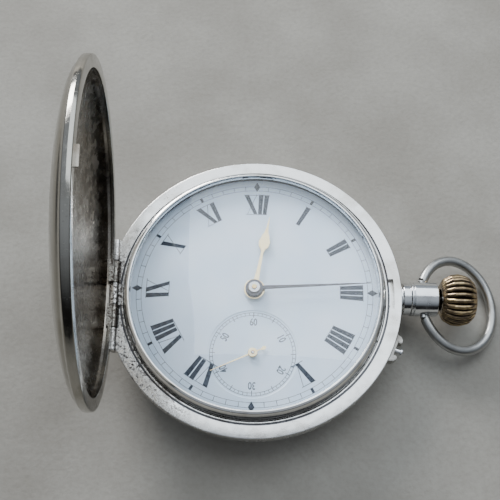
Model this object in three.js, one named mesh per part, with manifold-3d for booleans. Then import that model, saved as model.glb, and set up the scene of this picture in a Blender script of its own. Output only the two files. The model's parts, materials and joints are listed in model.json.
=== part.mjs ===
// Hunter pocket watch, lying on its back with the front cover open.
// Millimetres. The origin is the middle of the flat on the rear cover, +Z points out of the dial,
// +X to the winding crown at 3 o'clock and +Y to 12 o'clock.
import * as THREE from "three";
import { mergeVertices } from "three/addons/utils/BufferGeometryUtils.js";
import Module from "manifold-3d";

const wasm = await Module();
wasm.setup();

// ---- Driving dimensions ----
const CASE_R = 25;
const RIM_Z = 8.2; // front face of the case middle
const BAND_Z = 6.1; // where the straight band starts to taper in
const MIDDLE_Z = 4.7; // back face of the case middle
const MOVEMENT_R = 21.2;
const DIAL_TOP = 7.9;
const DIAL_BOTTOM = 7.4;
const BEZEL_R = 22.05;
const BEZEL_TOP = 10.6;
const CRYSTAL_TOP = 12.0;
const LID_R = 25.05;
const LID_OPENING_R = 23.06;
const LID_RIM_Z = 8.3;
const LID_TOP = 13.2;
const LID_ANGLE = 86; // degrees open at rest
const FRONT_HINGE = { x: -23.7, z: 8.15, r: 0.7 };
const FRONT_HINGE_TURN = 3; // degrees that the front hinge sits round from 9 o'clock, towards 8
const REAR_R = 24.5;
const REAR_RIM_Z = 4.6;
const REAR_FLAT_R = 12;
const REAR_HINGE = { x: -23.9, z: 4.65, r: 0.55 };
const CUVETTE_HINGE = { x: -21.75, z: 4.15, r: 0.4 };
const STEM_Z = 5.8;
const CROWN_R = 4.5;
const CROWN_X = [31.85, 37.9];
const BOW_PIN_X = 28.8;
const BOW_WIRE_R = 0.875;
const BOW_DROOP = 20; // degrees below the pendant axis at rest
const PUSHER = { angle: -22, z: 6.9 }; // pin-set button: degrees round the band from 3 o'clock
const SECONDS = { x: 0, y: -11 }; // fourth arbor, under the seconds dial
const PLATE = { bottom: 5.1, top: 7.3 };
const BRIDGE = { bottom: 2.6, top: 3.45 };
const PIVOT_GAP = 0.06; // running clearance round every arbor
const ROUND = 32; // sides of the large turned pieces
const COARSE = 24; // sides of the large hidden pieces

// Arbors of the going train, seen from the dial side.
const BARREL = { x: 3.63, y: 7.79 };
const THIRD = { x: 3.17, y: -6.22 };
const ESCAPE = { x: -4.04, y: -8.76 };
const PALLET = { x: -7.1, y: -7.06 };
const BALANCE = { x: -10.8, y: -5 };
const CROWN_WHEEL = { x: 11.55, y: 0 };
const MINUTE_WHEEL = { x: 3.6, y: 0 };
const CLICK = { x: -5, y: 3.2 };
const COCK_FOOT = { x: -13, y: -13.2 };
const CENTRE = { x: 0, y: 0 };

// Finishes: colour, roughness, metalness.
const FINISH = {
  silver: [0xc9c7c2, 0.3, 1],
  gilt: [0xb8924a, 0.35, 1],
  brass: [0xc6a45c, 0.3, 1],
  nickel: [0xc2bfb6, 0.3, 1],
  steel: [0x9da1a6, 0.25, 1],
  blued: [0x27303f, 0.3, 1],
  enamel: [0xe4ebf2, 0.15, 0],
  glass: [0xdfe9ee, 0.03, 0],
};

const watch = new THREE.Group();

// ---- Solids ----
function solid(geometry) {
  const bare = geometry.index ? geometry.toNonIndexed() : geometry;
  bare.deleteAttribute("normal");
  bare.deleteAttribute("uv");
  const merged = mergeVertices(bare, 1e-4);
  const build = (corners) =>
    new wasm.Manifold(
      new wasm.Mesh({
        numProp: 3,
        vertProperties: merged.attributes.position.array,
        triVerts: corners,
      }),
    );
  const corners = new Uint32Array(merged.index.array);
  const made = build(corners);
  return made.volume() < 0 ? build(corners.slice().reverse()) : made;
}

function geometryOf(body) {
  const { vertProperties, triVerts } = body.getMesh();
  const geometry = new THREE.BufferGeometry();
  geometry.setAttribute("position", new THREE.BufferAttribute(vertProperties, 3));
  geometry.setIndex(new THREE.BufferAttribute(triVerts, 1));
  return geometry;
}

// The body after a turn about one axis through the origin and then a shift.
function placed(body, axis, degrees, shift) {
  const directions = { x: [1, 0, 0], y: [0, 1, 0], z: [0, 0, 1] };
  const turn = new THREE.Matrix4().makeRotationAxis(
    new THREE.Vector3(...directions[axis]),
    THREE.MathUtils.degToRad(degrees),
  );
  return solid(geometryOf(body).applyMatrix4(turn).translate(...shift));
}

function joined(list) {
  return list.reduce((whole, piece) => whole.add(piece));
}

// A turned solid about Z from [radius, z] points; it starts and ends on the axis or closes on itself.
function turned(profile, sides = ROUND, at = CENTRE) {
  const points = profile.map(([r, z]) => new THREE.Vector2(r, z));
  const onAxis = profile[0][0] === 0 && profile[profile.length - 1][0] === 0;
  if (!onAxis) points.push(points[0].clone());
  const shape = new THREE.LatheGeometry(points, sides);
  shape.rotateX(Math.PI / 2);
  shape.rotateZ(Math.PI / sides);
  shape.translate(at.x, at.y, 0);
  return solid(shape);
}

function disc(r, z0, z1, at = CENTRE, sides = 12) {
  const shape = new THREE.CylinderGeometry(r, r, z1 - z0, sides);
  shape.rotateX(Math.PI / 2);
  shape.translate(at.x, at.y, (z0 + z1) / 2);
  return solid(shape);
}

function ring(inner, outer, z0, z1, at = CENTRE, sides = 20) {
  return disc(outer, z0, z1, at, sides).subtract(disc(inner, z0 - 1, z1 + 1, at, sides));
}

function block(x0, x1, y0, y1, z0, z1) {
  const shape = new THREE.BoxGeometry(x1 - x0, y1 - y0, z1 - z0);
  shape.translate((x0 + x1) / 2, (y0 + y1) / 2, (z0 + z1) / 2);
  return solid(shape);
}

function plate(outline, z0, z1) {
  const shape = new THREE.Shape(outline.map(([x, y]) => new THREE.Vector2(x, y)));
  const body = new THREE.ExtrudeGeometry(shape, { depth: z1 - z0, bevelEnabled: false });
  body.translate(0, 0, z0);
  return solid(body);
}

// A bar of the given width between two points in plan, with square ends.
function bar(from, to, width, z0, z1) {
  const length = Math.hypot(to.x - from.x, to.y - from.y);
  const shape = new THREE.BoxGeometry(length, width, z1 - z0);
  shape.rotateZ(Math.atan2(to.y - from.y, to.x - from.x));
  shape.translate((from.x + to.x) / 2, (from.y + to.y) / 2, (z0 + z1) / 2);
  return solid(shape);
}

function rodX(r, x0, x1, y = 0, z = STEM_Z, sides = 16) {
  const shape = new THREE.CylinderGeometry(r, r, x1 - x0, sides);
  shape.rotateZ(Math.PI / 2);
  shape.translate((x0 + x1) / 2, y, z);
  return solid(shape);
}

function rodY(r, y0, y1, x, z, sides = 12) {
  const shape = new THREE.CylinderGeometry(r, r, y1 - y0, sides);
  shape.translate(x, (y0 + y1) / 2, z);
  return solid(shape);
}

// A toothed disc whose tips reach just short of the pitch circle.
function toothed(teeth, pitchR, z0, z1, at = CENTRE) {
  const tip = pitchR - 0.02;
  const root = pitchR * (1 - 3.2 / teeth);
  const outline = [];
  for (let i = 0; i < teeth; i++) {
    for (const [step, r] of [[0, root], [0.5, tip]]) {
      const angle = ((i + step) / teeth) * 2 * Math.PI;
      outline.push([at.x + r * Math.cos(angle), at.y + r * Math.sin(angle)]);
    }
  }
  return plate(outline, z0, z1);
}

// A toothed wheel with four windows between its crossings.
function wheel(teeth, pitchR, z0, z1, at) {
  const far = pitchR * 0.56;
  const near = pitchR * 0.1;
  const windows = [[near, near], [-far, near], [-far, -far], [near, -far]].map(([x, y]) =>
    block(at.x + x, at.x + x + far - near, at.y + y, at.y + y + far - near, z0 - 1, z1 + 1));
  return toothed(teeth, pitchR, z0, z1, at).subtract(joined(windows));
}

function turnAbout(body, hinge, degrees) {
  const atOrigin = placed(body, "y", 0, [-hinge.x, 0, -hinge.z]);
  return placed(atOrigin, "y", degrees, [hinge.x, 0, hinge.z]);
}

function add(name, body, finish) {
  const geometry = geometryOf(body);
  geometry.computeVertexNormals();
  const [color, roughness, metalness] = FINISH[finish];
  const material = new THREE.MeshStandardMaterial({ color, roughness, metalness });
  const mesh = new THREE.Mesh(geometry, material);
  mesh.name = name;
  watch.add(mesh);
}

// Points of a quarter ellipse from the flat of a cover out to its rim.
function coverCurve(flatR, rimR, flatZ, rimZ, steps) {
  const points = [];
  for (let i = 0; i <= steps; i++) {
    const angle = (i / steps) * (Math.PI / 2);
    const r = flatR + (rimR - flatR) * Math.sin(angle);
    const z = flatZ + (rimZ - flatZ) * (1 - Math.cos(angle));
    points.push([r, z]);
  }
  return points;
}

// Hinge knuckles along Y: a list of [from, to] stretches round one axis, each with a web to its owner.
function knuckles(spans, hinge, webTo) {
  const parts = spans.map(([y0, y1]) => {
    const x0 = Math.min(hinge.x, webTo.x);
    const x1 = Math.max(hinge.x, webTo.x);
    const web = block(x0, x1, y0, y1, webTo.z0, webTo.z1);
    return rodY(hinge.r, y0, y1, hinge.x, hinge.z).add(web);
  });
  return joined(parts);
}

// ---- Case ----
const hingeBore = (hinge, r, half) => rodY(r, -half, half, hinge.x, hinge.z, 8);
const aroundCase = (body, degrees) => placed(body, "z", degrees, [0, 0, 0]);
const frontHingeBore = (r, half) => aroundCase(hingeBore(FRONT_HINGE, r, half), FRONT_HINGE_TURN);

function caseMiddle() {
  const body = turned([
    [21.6, MIDDLE_Z], [24.4, MIDDLE_Z], [24.85, BAND_Z - 0.5], [CASE_R, BAND_Z],
    [CASE_R, RIM_Z - 0.2], [CASE_R - 0.2, RIM_Z], [22.2, RIM_Z], [22.2, 7.25], [21.6, 7.25],
  ]);
  const frontNotch = aroundCase(block(-26, -22.75, -11, 11, 6.4, 9), FRONT_HINGE_TURN);
  const rearNotch = block(-26, -23, -7.4, 7.4, 3, 5.5);
  const cuvetteNotch = block(-22.9, -21, -6.4, 6.4, 3, 5.2);
  const catchSlot = ring(22.9, 23.75, 7.25, 9, CENTRE, ROUND)
    .intersect(block(20, 26, -2.8, 2.8, 6, 9));
  const frontEars = aroundCase(knuckles(
    [[-10, -6.1], [-1.9, 1.9], [6.1, 10]],
    FRONT_HINGE,
    { x: -22.7, z0: 6.9, z1: 8.15 },
  ), FRONT_HINGE_TURN);
  const rearEars = knuckles(
    [[-7, -4.4], [-1.3, 1.3], [4.4, 7]],
    REAR_HINGE,
    { x: -22.9, z0: 4.75, z1: 5.15 },
  );
  const cuvetteEars = knuckles(
    [[-6, -4.1], [4.1, 6]],
    CUVETTE_HINGE,
    { x: -22.95, z0: 4.2, z1: 4.5 },
  ).add(block(-23, -22.85, -6, -4.1, 4.2, 5)).add(block(-23, -22.85, 4.1, 6, 4.2, 5));
  const pinHoles = frontHingeBore(0.32, 12)
    .add(hingeBore(REAR_HINGE, 0.3, 9))
    .add(hingeBore(CUVETTE_HINGE, 0.22, 8));
  const stemHole = rodX(1.05, 20, 26, 0, STEM_Z, 16);
  const noseWindow = block(21, 23.5, -2.1, 2.1, 7.25, 7.58);
  const pusherAt = new THREE.CylinderGeometry(0.5, 0.5, 8, 12);
  pusherAt.rotateZ(Math.PI / 2);
  pusherAt.translate(23, 0, 6.9);
  pusherAt.rotateZ(THREE.MathUtils.degToRad(PUSHER.angle));
  return body
    .subtract(frontNotch)
    .subtract(rearNotch)
    .subtract(cuvetteNotch)
    .subtract(catchSlot)
    .add(frontEars)
    .add(rearEars)
    .add(cuvetteEars)
    .subtract(pinHoles)
    .subtract(stemHole)
    .subtract(noseWindow)
    .subtract(solid(pusherAt));
}


function bezel() {
  return turned([
    [21.6, RIM_Z - 0.6], [22.05, RIM_Z - 0.6], [BEZEL_R + 0.02, RIM_Z + 0.4], [BEZEL_R, BEZEL_TOP - 0.8],
    [21.6, BEZEL_TOP - 0.1], [21.2, BEZEL_TOP], [21, BEZEL_TOP - 0.1], [21, BEZEL_TOP - 0.7],
    [21.5, BEZEL_TOP - 0.8],
  ]);
}

// The domed glass, seated in the bezel's groove.
function crystal() {
  const edgeR = 21.45;
  const edgeZ = BEZEL_TOP - 0.95;
  const outer = [[0, CRYSTAL_TOP], [8, CRYSTAL_TOP - 0.17], [15, CRYSTAL_TOP - 0.62],
    [20.8, BEZEL_TOP - 0.15], [20.85, BEZEL_TOP - 0.75], [edgeR, edgeZ + 0.05]];
  const inner = [[edgeR, edgeZ - 0.25], [20.2, edgeZ - 0.2], [15, CRYSTAL_TOP - 1.5],
    [8, CRYSTAL_TOP - 0.97], [0, CRYSTAL_TOP - 0.8]];
  return turned([...outer, ...inner]);
}

function frontCover() {
  const outer = [[LID_R - 0.15, LID_RIM_Z], [LID_R, LID_RIM_Z + 0.2], [LID_R, LID_RIM_Z + 1.2],
    [LID_R - 0.45, LID_RIM_Z + 1.5]];
  const dome = [[22.5, 11.0], [18.5, 12.15], [12, 12.85], [6, 13.12], [0, LID_TOP]];
  const inside = [[0, LID_TOP - 0.6], [6, 12.52], [12, 12.25], [18.5, 11.5], [22.2, 10.4],
    [24.0, 9.55], [24.1, LID_RIM_Z + 0.55], [LID_OPENING_R, LID_RIM_Z + 0.55], [LID_OPENING_R, LID_RIM_Z]];
  const shell = solidProfile([...outer, ...dome, ...inside]);
  const notch = block(-26, -22.85, -10.4, 10.4, 7, 9.05);
  const ears = knuckles(
    [[-5.9, -2.1], [2.1, 5.9]],
    FRONT_HINGE,
    { x: -22.6, z0: 8.35, z1: 8.8 },
  ).add(block(-24.2, -22.6, -5.9, -2.1, 8.5, 9.3)).add(block(-24.2, -22.6, 2.1, 5.9, 8.5, 9.3));
  const lip = ring(23.12, 23.55, 7.5, 8.6, CENTRE, ROUND).intersect(block(20, 26, -2.2, 2.2, 7, 8.6));
  const lipAtCatch = aroundCase(lip, -FRONT_HINGE_TURN);
  const closed = shell
    .subtract(notch)
    .add(ears)
    .add(lipAtCatch)
    .subtract(hingeBore(FRONT_HINGE, 0.32, 12));
  return aroundCase(turnAbout(closed, FRONT_HINGE, -LID_ANGLE), FRONT_HINGE_TURN);
}

// A turned shell whose profile leaves the axis on the outside and comes back to it on the inside.
function solidProfile(profile) {
  const top = profile.findIndex(([r]) => r === 0);
  const reordered = [...profile.slice(top + 1), ...profile.slice(0, top + 1)];
  return turned([profile[top + 1], ...reordered.slice(1)]);
}

function rearCover() {
  const outer = [[0, 0], ...coverCurve(REAR_FLAT_R, REAR_R, 0, REAR_RIM_Z - 0.5, 5), [REAR_R, REAR_RIM_Z]];
  const inner = [[REAR_R - 0.6, REAR_RIM_Z], ...coverCurve(REAR_FLAT_R, REAR_R - 0.6, 0.5, REAR_RIM_Z - 0.4, 4)
    .reverse(), [0, 0.5]];
  const shell = turned([...outer, ...inner]);
  const notch = block(-26, -23.2, -7.3, 7.3, 3.9, 6);
  const ears = knuckles(
    [[-4.3, -1.4], [1.4, 4.3]],
    REAR_HINGE,
    { x: -23.5, z0: 3.6, z1: 4.5 },
  );
  return shell.subtract(notch).add(ears).subtract(hingeBore(REAR_HINGE, 0.3, 9));
}

function cuvette() {
  const outer = [[0, 1.25], ...coverCurve(15.5, 22.3, 1.25, 4.3, 4)];
  const inner = [[21.95, 4.35], ...coverCurve(15.5, 21.95, 1.6, 4.2, 4).reverse(), [0, 1.6]];
  const shell = turned([...outer, ...inner], COARSE);
  const notch = block(-24, -21.25, -6.2, 6.2, 3.5, 6);
  const ears = knuckles(
    [[-4, 4]],
    CUVETTE_HINGE,
    { x: -21.45, z0: 3.3, z1: 4.15 },
  );
  return shell.subtract(notch).add(ears).subtract(hingeBore(CUVETTE_HINGE, 0.22, 8));
}

// ---- Pendant, crown and bow ----
function pendant() {
  const shape = new THREE.LatheGeometry(
    [[2.7, 24.6], [2.7, 26.6], [2.95, 26.85], [2.75, 27.1], [2.95, 27.35], [2.95, 31.2],
      [2.4, 31.3], [1.9, 31.3], [1.9, 24.6], [2.7, 24.6]].map(([r, x]) => new THREE.Vector2(r, x)),
    16,
  );
  shape.rotateZ(-Math.PI / 2);
  shape.translate(0, 0, STEM_Z);
  const bowHole = rodY(0.6, -4, 4, BOW_PIN_X, STEM_Z);
  return solid(shape).subtract(disc(CASE_R + 0.12, 0, 12, CENTRE, ROUND * 2)).subtract(bowHole);
}

function crown() {
  const ribs = 22;
  const outline = [];
  for (let i = 0; i < ribs * 2; i++) {
    const angle = (i / (ribs * 2)) * 2 * Math.PI;
    const r = i % 2 ? CROWN_R : CROWN_R - 0.45;
    outline.push([r * Math.cos(angle), r * Math.sin(angle)]);
  }
  const length = CROWN_X[1] - CROWN_X[0];
  const ribbed = plate(outline, 0, length);
  const onion = turned([[0, 0], [2.7, 0], [3.9, 0.9], [4.45, 2.2], [4.5, 3.2], [4.1, 4.6], [3.2, 5.6],
    [0, length]], 16);
  const upright = ribbed
    .intersect(onion)
    .subtract(disc(2.1, -1, 0.9, CENTRE, 12))
    .subtract(disc(0.75, -1, 3.5, CENTRE, 12));
  return placed(upright, "y", 90, [CROWN_X[0], 0, STEM_Z]);
}

const stem = () => rodX(0.7, 19.2, 35.3, 0, STEM_Z, 12).add(rodX(0.45, 13.9, 19.4, 0, STEM_Z, 4));
const pushSleeve = () => rodX(0.98, 22, 26, 0, STEM_Z, 16)
  .add(rodX(1.75, 25.8, 31.2, 0, STEM_Z, 16))
  .subtract(rodX(0.78, 20, 32, 0, STEM_Z, 12));

// An oval wire loop lying in the plane of its two pins, drooped about them.
function bow() {
  const along = 7.1;
  const across = 8.3;
  const centre = 6.8;
  const start = Math.acos(-centre / along) - 0.12;
  const points = [new THREE.Vector3(0, 2.1, 0), new THREE.Vector3(0.1, 2.95, 0), new THREE.Vector3(0.35, 3.5, 0)];
  for (let i = 0; i <= 16; i++) {
    const angle = start * (1 - (2 * i) / 16) * 0.84;
    points.push(new THREE.Vector3(centre + along * Math.cos(angle), across * Math.sin(angle), 0));
  }
  points.push(new THREE.Vector3(0.35, -3.5, 0), new THREE.Vector3(0.1, -2.95, 0), new THREE.Vector3(0, -2.1, 0));
  const section = new THREE.Shape();
  section.absarc(0, 0, BOW_WIRE_R, 0, 2 * Math.PI);
  const wire = new THREE.ExtrudeGeometry(section, {
    extrudePath: new THREE.CatmullRomCurve3(points),
    steps: 30,
    curveSegments: 4,
    bevelEnabled: false,
  });
  const pins = rodY(0.5, -3.4, -2.1, 0, 0).add(rodY(0.5, 2.1, 3.4, 0, 0));
  const ends = block(-1, 1, -3.1, 3.1, -1, 1);
  const level = solid(wire).subtract(ends).add(pins);
  return placed(level, "y", BOW_DROOP, [BOW_PIN_X, 0, STEM_Z]);
}

// ---- Pin-set button and its guard ----
function aroundBand(body) {
  return placed(body, "z", PUSHER.angle, [0, 0, 0]);
}

function pusherGuard() {
  const lug = (y0, y1) => block(25.12, 26.3, y0, y1, PUSHER.z - 1.1, PUSHER.z + 1.1);
  const base = block(25.12, 25.45, -2.4, 2.4, PUSHER.z - 1.1, PUSHER.z + 1.1);
  return aroundBand(
    joined([base, lug(-2.4, -1.15), lug(1.15, 2.4)])
      .subtract(rodX(0.5, 20, 30, 0, PUSHER.z, 12))
      .subtract(disc(CASE_R + 0.1, 0, 12, CENTRE, ROUND * 2)),
  );
}

const setPin = () => aroundBand(
  rodX(0.42, 22.4, 26.3, 0, PUSHER.z, 12).add(rodX(0.62, 26.2, 26.85, 0, PUSHER.z, 12)),
);

// ---- Springs of the case ----
function arcSpring(from, to, inner, outer, z0, z1) {
  const outline = [];
  const steps = 10;
  for (let i = 0; i <= steps; i++) {
    const angle = THREE.MathUtils.degToRad(from + ((to - from) * i) / steps);
    outline.push([outer * Math.cos(angle), outer * Math.sin(angle)]);
  }
  for (let i = steps; i >= 0; i--) {
    const angle = THREE.MathUtils.degToRad(from + ((to - from) * i) / steps);
    outline.push([inner * Math.cos(angle), inner * Math.sin(angle)]);
  }
  return plate(outline, z0, z1);
}

const liftSpring = () => arcSpring(146, 178, 21.28, 21.45, 5.4, 7.1);

// The lock spring's nose reaches out under the bezel into the catch slot.
const lockSpring = () => arcSpring(4, 42, 21.32, 21.45, 5.4, 7.38)
  .add(block(21.36, 23.05, -1.9, 1.9, 7.3, 7.55));

// ---- Dial and hands ----
function dial() {
  const clearCentre = disc(1.3, 6, 9, CENTRE, 16);
  const clearSeconds = disc(0.45, 6, 9, SECONDS, 12);
  const sunk = ring(1.2, 7.5, DIAL_TOP - 0.12, 9, SECONDS, 32).add(disc(1.3, DIAL_TOP - 0.12, 9, SECONDS, 12));
  return turned([[0, DIAL_BOTTOM], [21.3, DIAL_BOTTOM], [21.3, DIAL_TOP - 0.1], [20.9, DIAL_TOP], [0, DIAL_TOP]])
    .subtract(clearCentre)
    .subtract(clearSeconds)
    .subtract(sunk);
}

// A flat hand along its own direction from [distance, half width] stations.
function hand(stations, z0, z1, clock, at = CENTRE) {
  const right = stations.map(([s, w]) => [s, -w]);
  const left = stations.map(([s, w]) => [s, w]).reverse();
  return placed(plate([...right, ...left], z0, z1), "z", 90 - clock, [at.x, at.y, 0]);
}

const HOUR_ANGLE = 9.8;
const MINUTE_ANGLE = 86.1;
const SECOND_ANGLE = 245;

const hourHand = () => hand(
  [[1.5, 0.45], [6.8, 0.35], [7.4, 0.75], [8.6, 1], [9.8, 0.7], [11, 0.28], [13.7, 0.1]],
  8.5, 8.75, HOUR_ANGLE,
).add(disc(1.8, 8.5, 8.75, CENTRE, 20)).subtract(disc(1.22, 8, 9, CENTRE, 16));

const minuteHand = () => hand(
  [[1, 0.35], [8, 0.28], [19.6, 0.1]],
  9.15, 9.35, MINUTE_ANGLE,
).add(disc(1.5, 9.15, 9.35, CENTRE, 20)).subtract(disc(1, 9, 10, CENTRE, 16));

const secondsHand = () => hand([[0.5, 0.14], [7.5, 0.06]], 8.2, 8.35, SECOND_ANGLE, SECONDS)
  .add(hand([[-2.3, 0.32], [-1.7, 0.32], [-1.6, 0.1], [-0.5, 0.12]], 8.2, 8.35, SECOND_ANGLE, SECONDS))
  .add(disc(0.8, 8.15, 8.45, SECONDS, 12))
  .subtract(disc(0.29, 8, 9, SECONDS, 8));

// ---- Motion work ----
const cannonPinion = () => disc(0.94, 8.25, 9.75, CENTRE, 16)
  .add(disc(0.8, 6.9, 8.3, CENTRE, 12))
  .add(toothed(10, 0.95, 6.62, 7.03))
  .subtract(disc(0.46, 6, 11, CENTRE, 12));

const hourWheel = () => toothed(32, 2.88, 7.08, 7.3)
  .add(disc(1.16, 7.2, 8.95, CENTRE, 16))
  .subtract(disc(0.98, 6, 10, CENTRE, 16));

const minuteWheel = () => toothed(30, 2.65, 6.65, 6.9, MINUTE_WHEEL)
  .add(toothed(8, 0.7, 6.8, 7.3, MINUTE_WHEEL))
  .subtract(disc(0.3, 6, 8, MINUTE_WHEEL, 8));

// ---- Plates and bridges ----
const arborHoles = (list, r, z0, z1) => joined(list.map((at) => disc(r, z0, z1, at, 12)));

function mainPlate() {
  const gap = PIVOT_GAP;
  return turned([[0, PLATE.bottom], [MOVEMENT_R, PLATE.bottom], [MOVEMENT_R, 7.1], [20.8, PLATE.top],
    [0, PLATE.top]])
    .subtract(disc(8.3, 4, 6.15, BARREL, 20))
    .subtract(disc(3.2, 6.5, 8, CENTRE, 24))
    .subtract(disc(3, 6.5, 8, MINUTE_WHEEL, 24))
    .add(disc(0.24, 6.4, 7.2, MINUTE_WHEEL, 8))
    .subtract(block(14.3, 19.3, -1.9, 1.9, 4, 8))
    .subtract(rodX(0.78, 19, 24, 0, STEM_Z, 12))
    .subtract(rodX(0.5, 13.2, 15, 0, STEM_Z, 8))
    .subtract(disc(4.25, 4, 5.25, CROWN_WHEEL, 24))
    .subtract(arborHoles([CENTRE], 0.5 + gap, 4, 8))
    .subtract(arborHoles([SECONDS], 0.22 + gap, 4, 8))
    .subtract(arborHoles([THIRD, ESCAPE, PALLET, BALANCE], 0.2 + gap, 4, 5.9))
    .subtract(arborHoles([CROWN_WHEEL], 0.6, 4, 6.2))
    .subtract(block(19.2, 23, -9.8, -6.6, 6.2, 8));
}

// Pillars carry each bridge clear of the wheels.
function pillars(list, z0) {
  return joined(list.map(([x, y, r]) => disc(r, z0, PLATE.bottom - 0.03, { x, y }, 12)));
}

function barrelBridge() {
  const whole = disc(19.3, BRIDGE.bottom, BRIDGE.top, CENTRE, ROUND);
  const half = whole.intersect(block(-20, 20, -1.2, 20, 2, 4))
    .add(whole.intersect(block(6.6, 20, -6, 0, 2, 4)));
  return half
    .add(pillars([[-14, 8, 1.5], [-7.2, 14.8, 1.5], [15.6, 9.8, 1.5], [17.2, -4.4, 1.3]], BRIDGE.top - 0.2))
    .subtract(disc(7.15, 2, 4, BALANCE, 24))
    .subtract(disc(7.25, 2, 3.05, BARREL, 32))
    .subtract(disc(4.6, 2, 3.05, CROWN_WHEEL, 20))
    .subtract(disc(4.1, 2, 4, CROWN_WHEEL, 20))
    .subtract(disc(1.06, 2, 4, BARREL, 12))
    .subtract(disc(0.36, 2, 4, CENTRE, 8))
    .subtract(block(-7, -1.8, 1.6, 5.4, 2, 2.98))
    .subtract(arborHoles([{ x: -14, y: 8 }, { x: 15.6, y: 9.8 }], 0.62, 2, 4.2));
}

function trainBridge() {
  const outline = [[-3.2, -1.5], [6.3, -1.5], [6.3, -6.3], [16.2, -6.3], [12.5, -14], [6, -18],
    [-1.5, -18.6], [-4.8, -14], [-5.2, -8.4]];
  return plate(outline, BRIDGE.bottom, BRIDGE.top)
    .add(pillars([[12.6, -10, 1.5], [1.5, -17, 1.4]], BRIDGE.top - 0.2))
    .subtract(disc(7.15, 2, 4, BALANCE, 32))
    .subtract(arborHoles([THIRD, SECONDS, ESCAPE], 0.26, 2, 4))
    .subtract(arborHoles([{ x: 12.6, y: -10 }, { x: 1.5, y: -17 }], 0.62, 2, 4.2));
}

function palletCock() {
  return bar({ x: PALLET.x + 0.4, y: PALLET.y + 0.7 }, { x: -9.6, y: -12.4 }, 1.6, 3.72, 4.05)
    .add(disc(0.9, 3.72, PLATE.bottom - 0.03, { x: -9.3, y: -11.9 }, 12))
    .subtract(disc(0.24, 3, 4.5, PALLET, 8));
}


function balanceCock() {
  const within = disc(19.1, 2.3, 2.75, CENTRE, COARSE * 2)
    .add(disc(20, 2.7, PLATE.bottom - 0.03, CENTRE, COARSE * 2));
  return bar(BALANCE, COCK_FOOT, 3.6, 2.35, 2.86)
    .add(disc(2.4, 2.35, 2.86, BALANCE, 16))
    .add(disc(1.3, 2.35, PLATE.bottom - 0.03, COCK_FOOT, 12))
    .intersect(within)
    .subtract(disc(0.24, 2, 4, BALANCE, 8))
    .subtract(disc(0.82, 2, 2.52, COCK_FOOT, 12))
    .subtract(disc(0.45, 2, 4.2, COCK_FOOT, 8));
}

// ---- Train ----
const centreWheel = () => wheel(64, 6.2, 3.6, 3.9, CENTRE)
  .add(toothed(10, 1.17, 4.1, 5.0))
  .add(disc(0.9, 3.8, 4.2))
  .add(disc(0.3, 2.7, 3.7, CENTRE, 8))
  .add(disc(0.5, 4.9, 6.5, CENTRE, 12))
  .add(disc(0.4, 6.4, 10, CENTRE, 12));

const thirdWheel = () => wheel(60, 5.06, 4.7, 4.95, THIRD)
  .add(toothed(8, 0.76, 3.55, 4.1, THIRD))
  .add(disc(0.35, 4, 4.8, THIRD, 8))
  .add(disc(0.2, 2.7, 5.6, THIRD, 8));

const fourthWheel = () => wheel(60, 4.2, 3.6, 3.85, SECONDS)
  .add(toothed(8, 0.67, 4.6, 5.05, SECONDS))
  .add(disc(0.35, 3.8, 4.7, SECONDS, 8))
  .add(disc(0.22, 2.7, 8.4, SECONDS, 8));

// The club-toothed escape wheel.
function escapeWheel() {
  const teeth = 15;
  const outline = [];
  for (let i = 0; i < teeth; i++) {
    for (const [step, r] of [[0, 2.3], [0.42, 2.3], [0.55, 2.95], [0.72, 2.88]]) {
      const angle = ((i + step) / teeth) * 2 * Math.PI;
      outline.push([ESCAPE.x + r * Math.cos(angle), ESCAPE.y + r * Math.sin(angle)]);
    }
  }
  return plate(outline, 4.2, 4.42)
    .add(toothed(6, 0.42, 3.55, 4.25, ESCAPE))
    .add(disc(0.2, 2.7, 5.6, ESCAPE, 8));
}

function palletFork() {
  const lever = hand([[-0.6, 0.5], [0.8, 0.3], [2.5, 0.2], [2.8, 0.55], [3.1, 0.55]], 4.3, 4.5, 0);
  const arms = hand([[0, 1.9], [0.55, 1.9], [0.75, 0.4]], 4.3, 4.5, 0);
  const stones = block(-1.75, -1.35, -0.35, 0.2, 4.2, 4.55).add(block(1.35, 1.75, -0.35, 0.2, 4.2, 4.55));
  const towards = (Math.atan2(BALANCE.y - PALLET.y, BALANCE.x - PALLET.x) * 180) / Math.PI - 90;
  const fork = joined([lever, arms, stones, disc(0.2, 3.75, 5.6, CENTRE, 8)]);
  return placed(fork, "z", towards, [PALLET.x, PALLET.y, 0]);
}

function balanceWheel() {
  const screws = [];
  const count = 8;
  for (let i = 0; i < count; i++) {
    const angle = ((i + 0.5) / count) * 360;
    screws.push(placed(rodX(0.26, 6.3, 6.9, 0, 3.3, 4), "z", angle, [0, 0, 0]));
  }
  const rim = ring(5.6, 6.4, 3.05, 3.55, CENTRE, 24);
  const arm = block(-5.8, 5.8, -0.45, 0.45, 3.2, 3.42);
  const staff = disc(0.2, 2.4, 5.6, CENTRE, 8).add(disc(0.55, 2.88, 3.3, CENTRE, 12));
  return placed(joined([rim, arm, staff, ...screws]), "z", 0, [BALANCE.x, BALANCE.y, 0]);
}

const roller = () => ring(0.26, 1.5, 3.62, 3.7, BALANCE, 16)
  .add(disc(0.15, 3.65, 4.15, { x: BALANCE.x + 0.83, y: BALANCE.y - 0.46 }, 8));

// A flat spiral strip.
function spiral(innerR, outerR, turns, thickness, z0, z1, at, perTurn = 16) {
  const steps = turns * perTurn;
  const outside = [];
  const inside = [];
  for (let i = 0; i <= steps; i++) {
    const angle = (i / perTurn) * 2 * Math.PI;
    const r = innerR + ((outerR - innerR) * i) / steps;
    outside.push([at.x + (r + thickness) * Math.cos(angle), at.y + (r + thickness) * Math.sin(angle)]);
    inside.push([at.x + r * Math.cos(angle), at.y + r * Math.sin(angle)]);
  }
  return plate([...outside, ...inside.reverse()], z0, z1);
}

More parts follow.
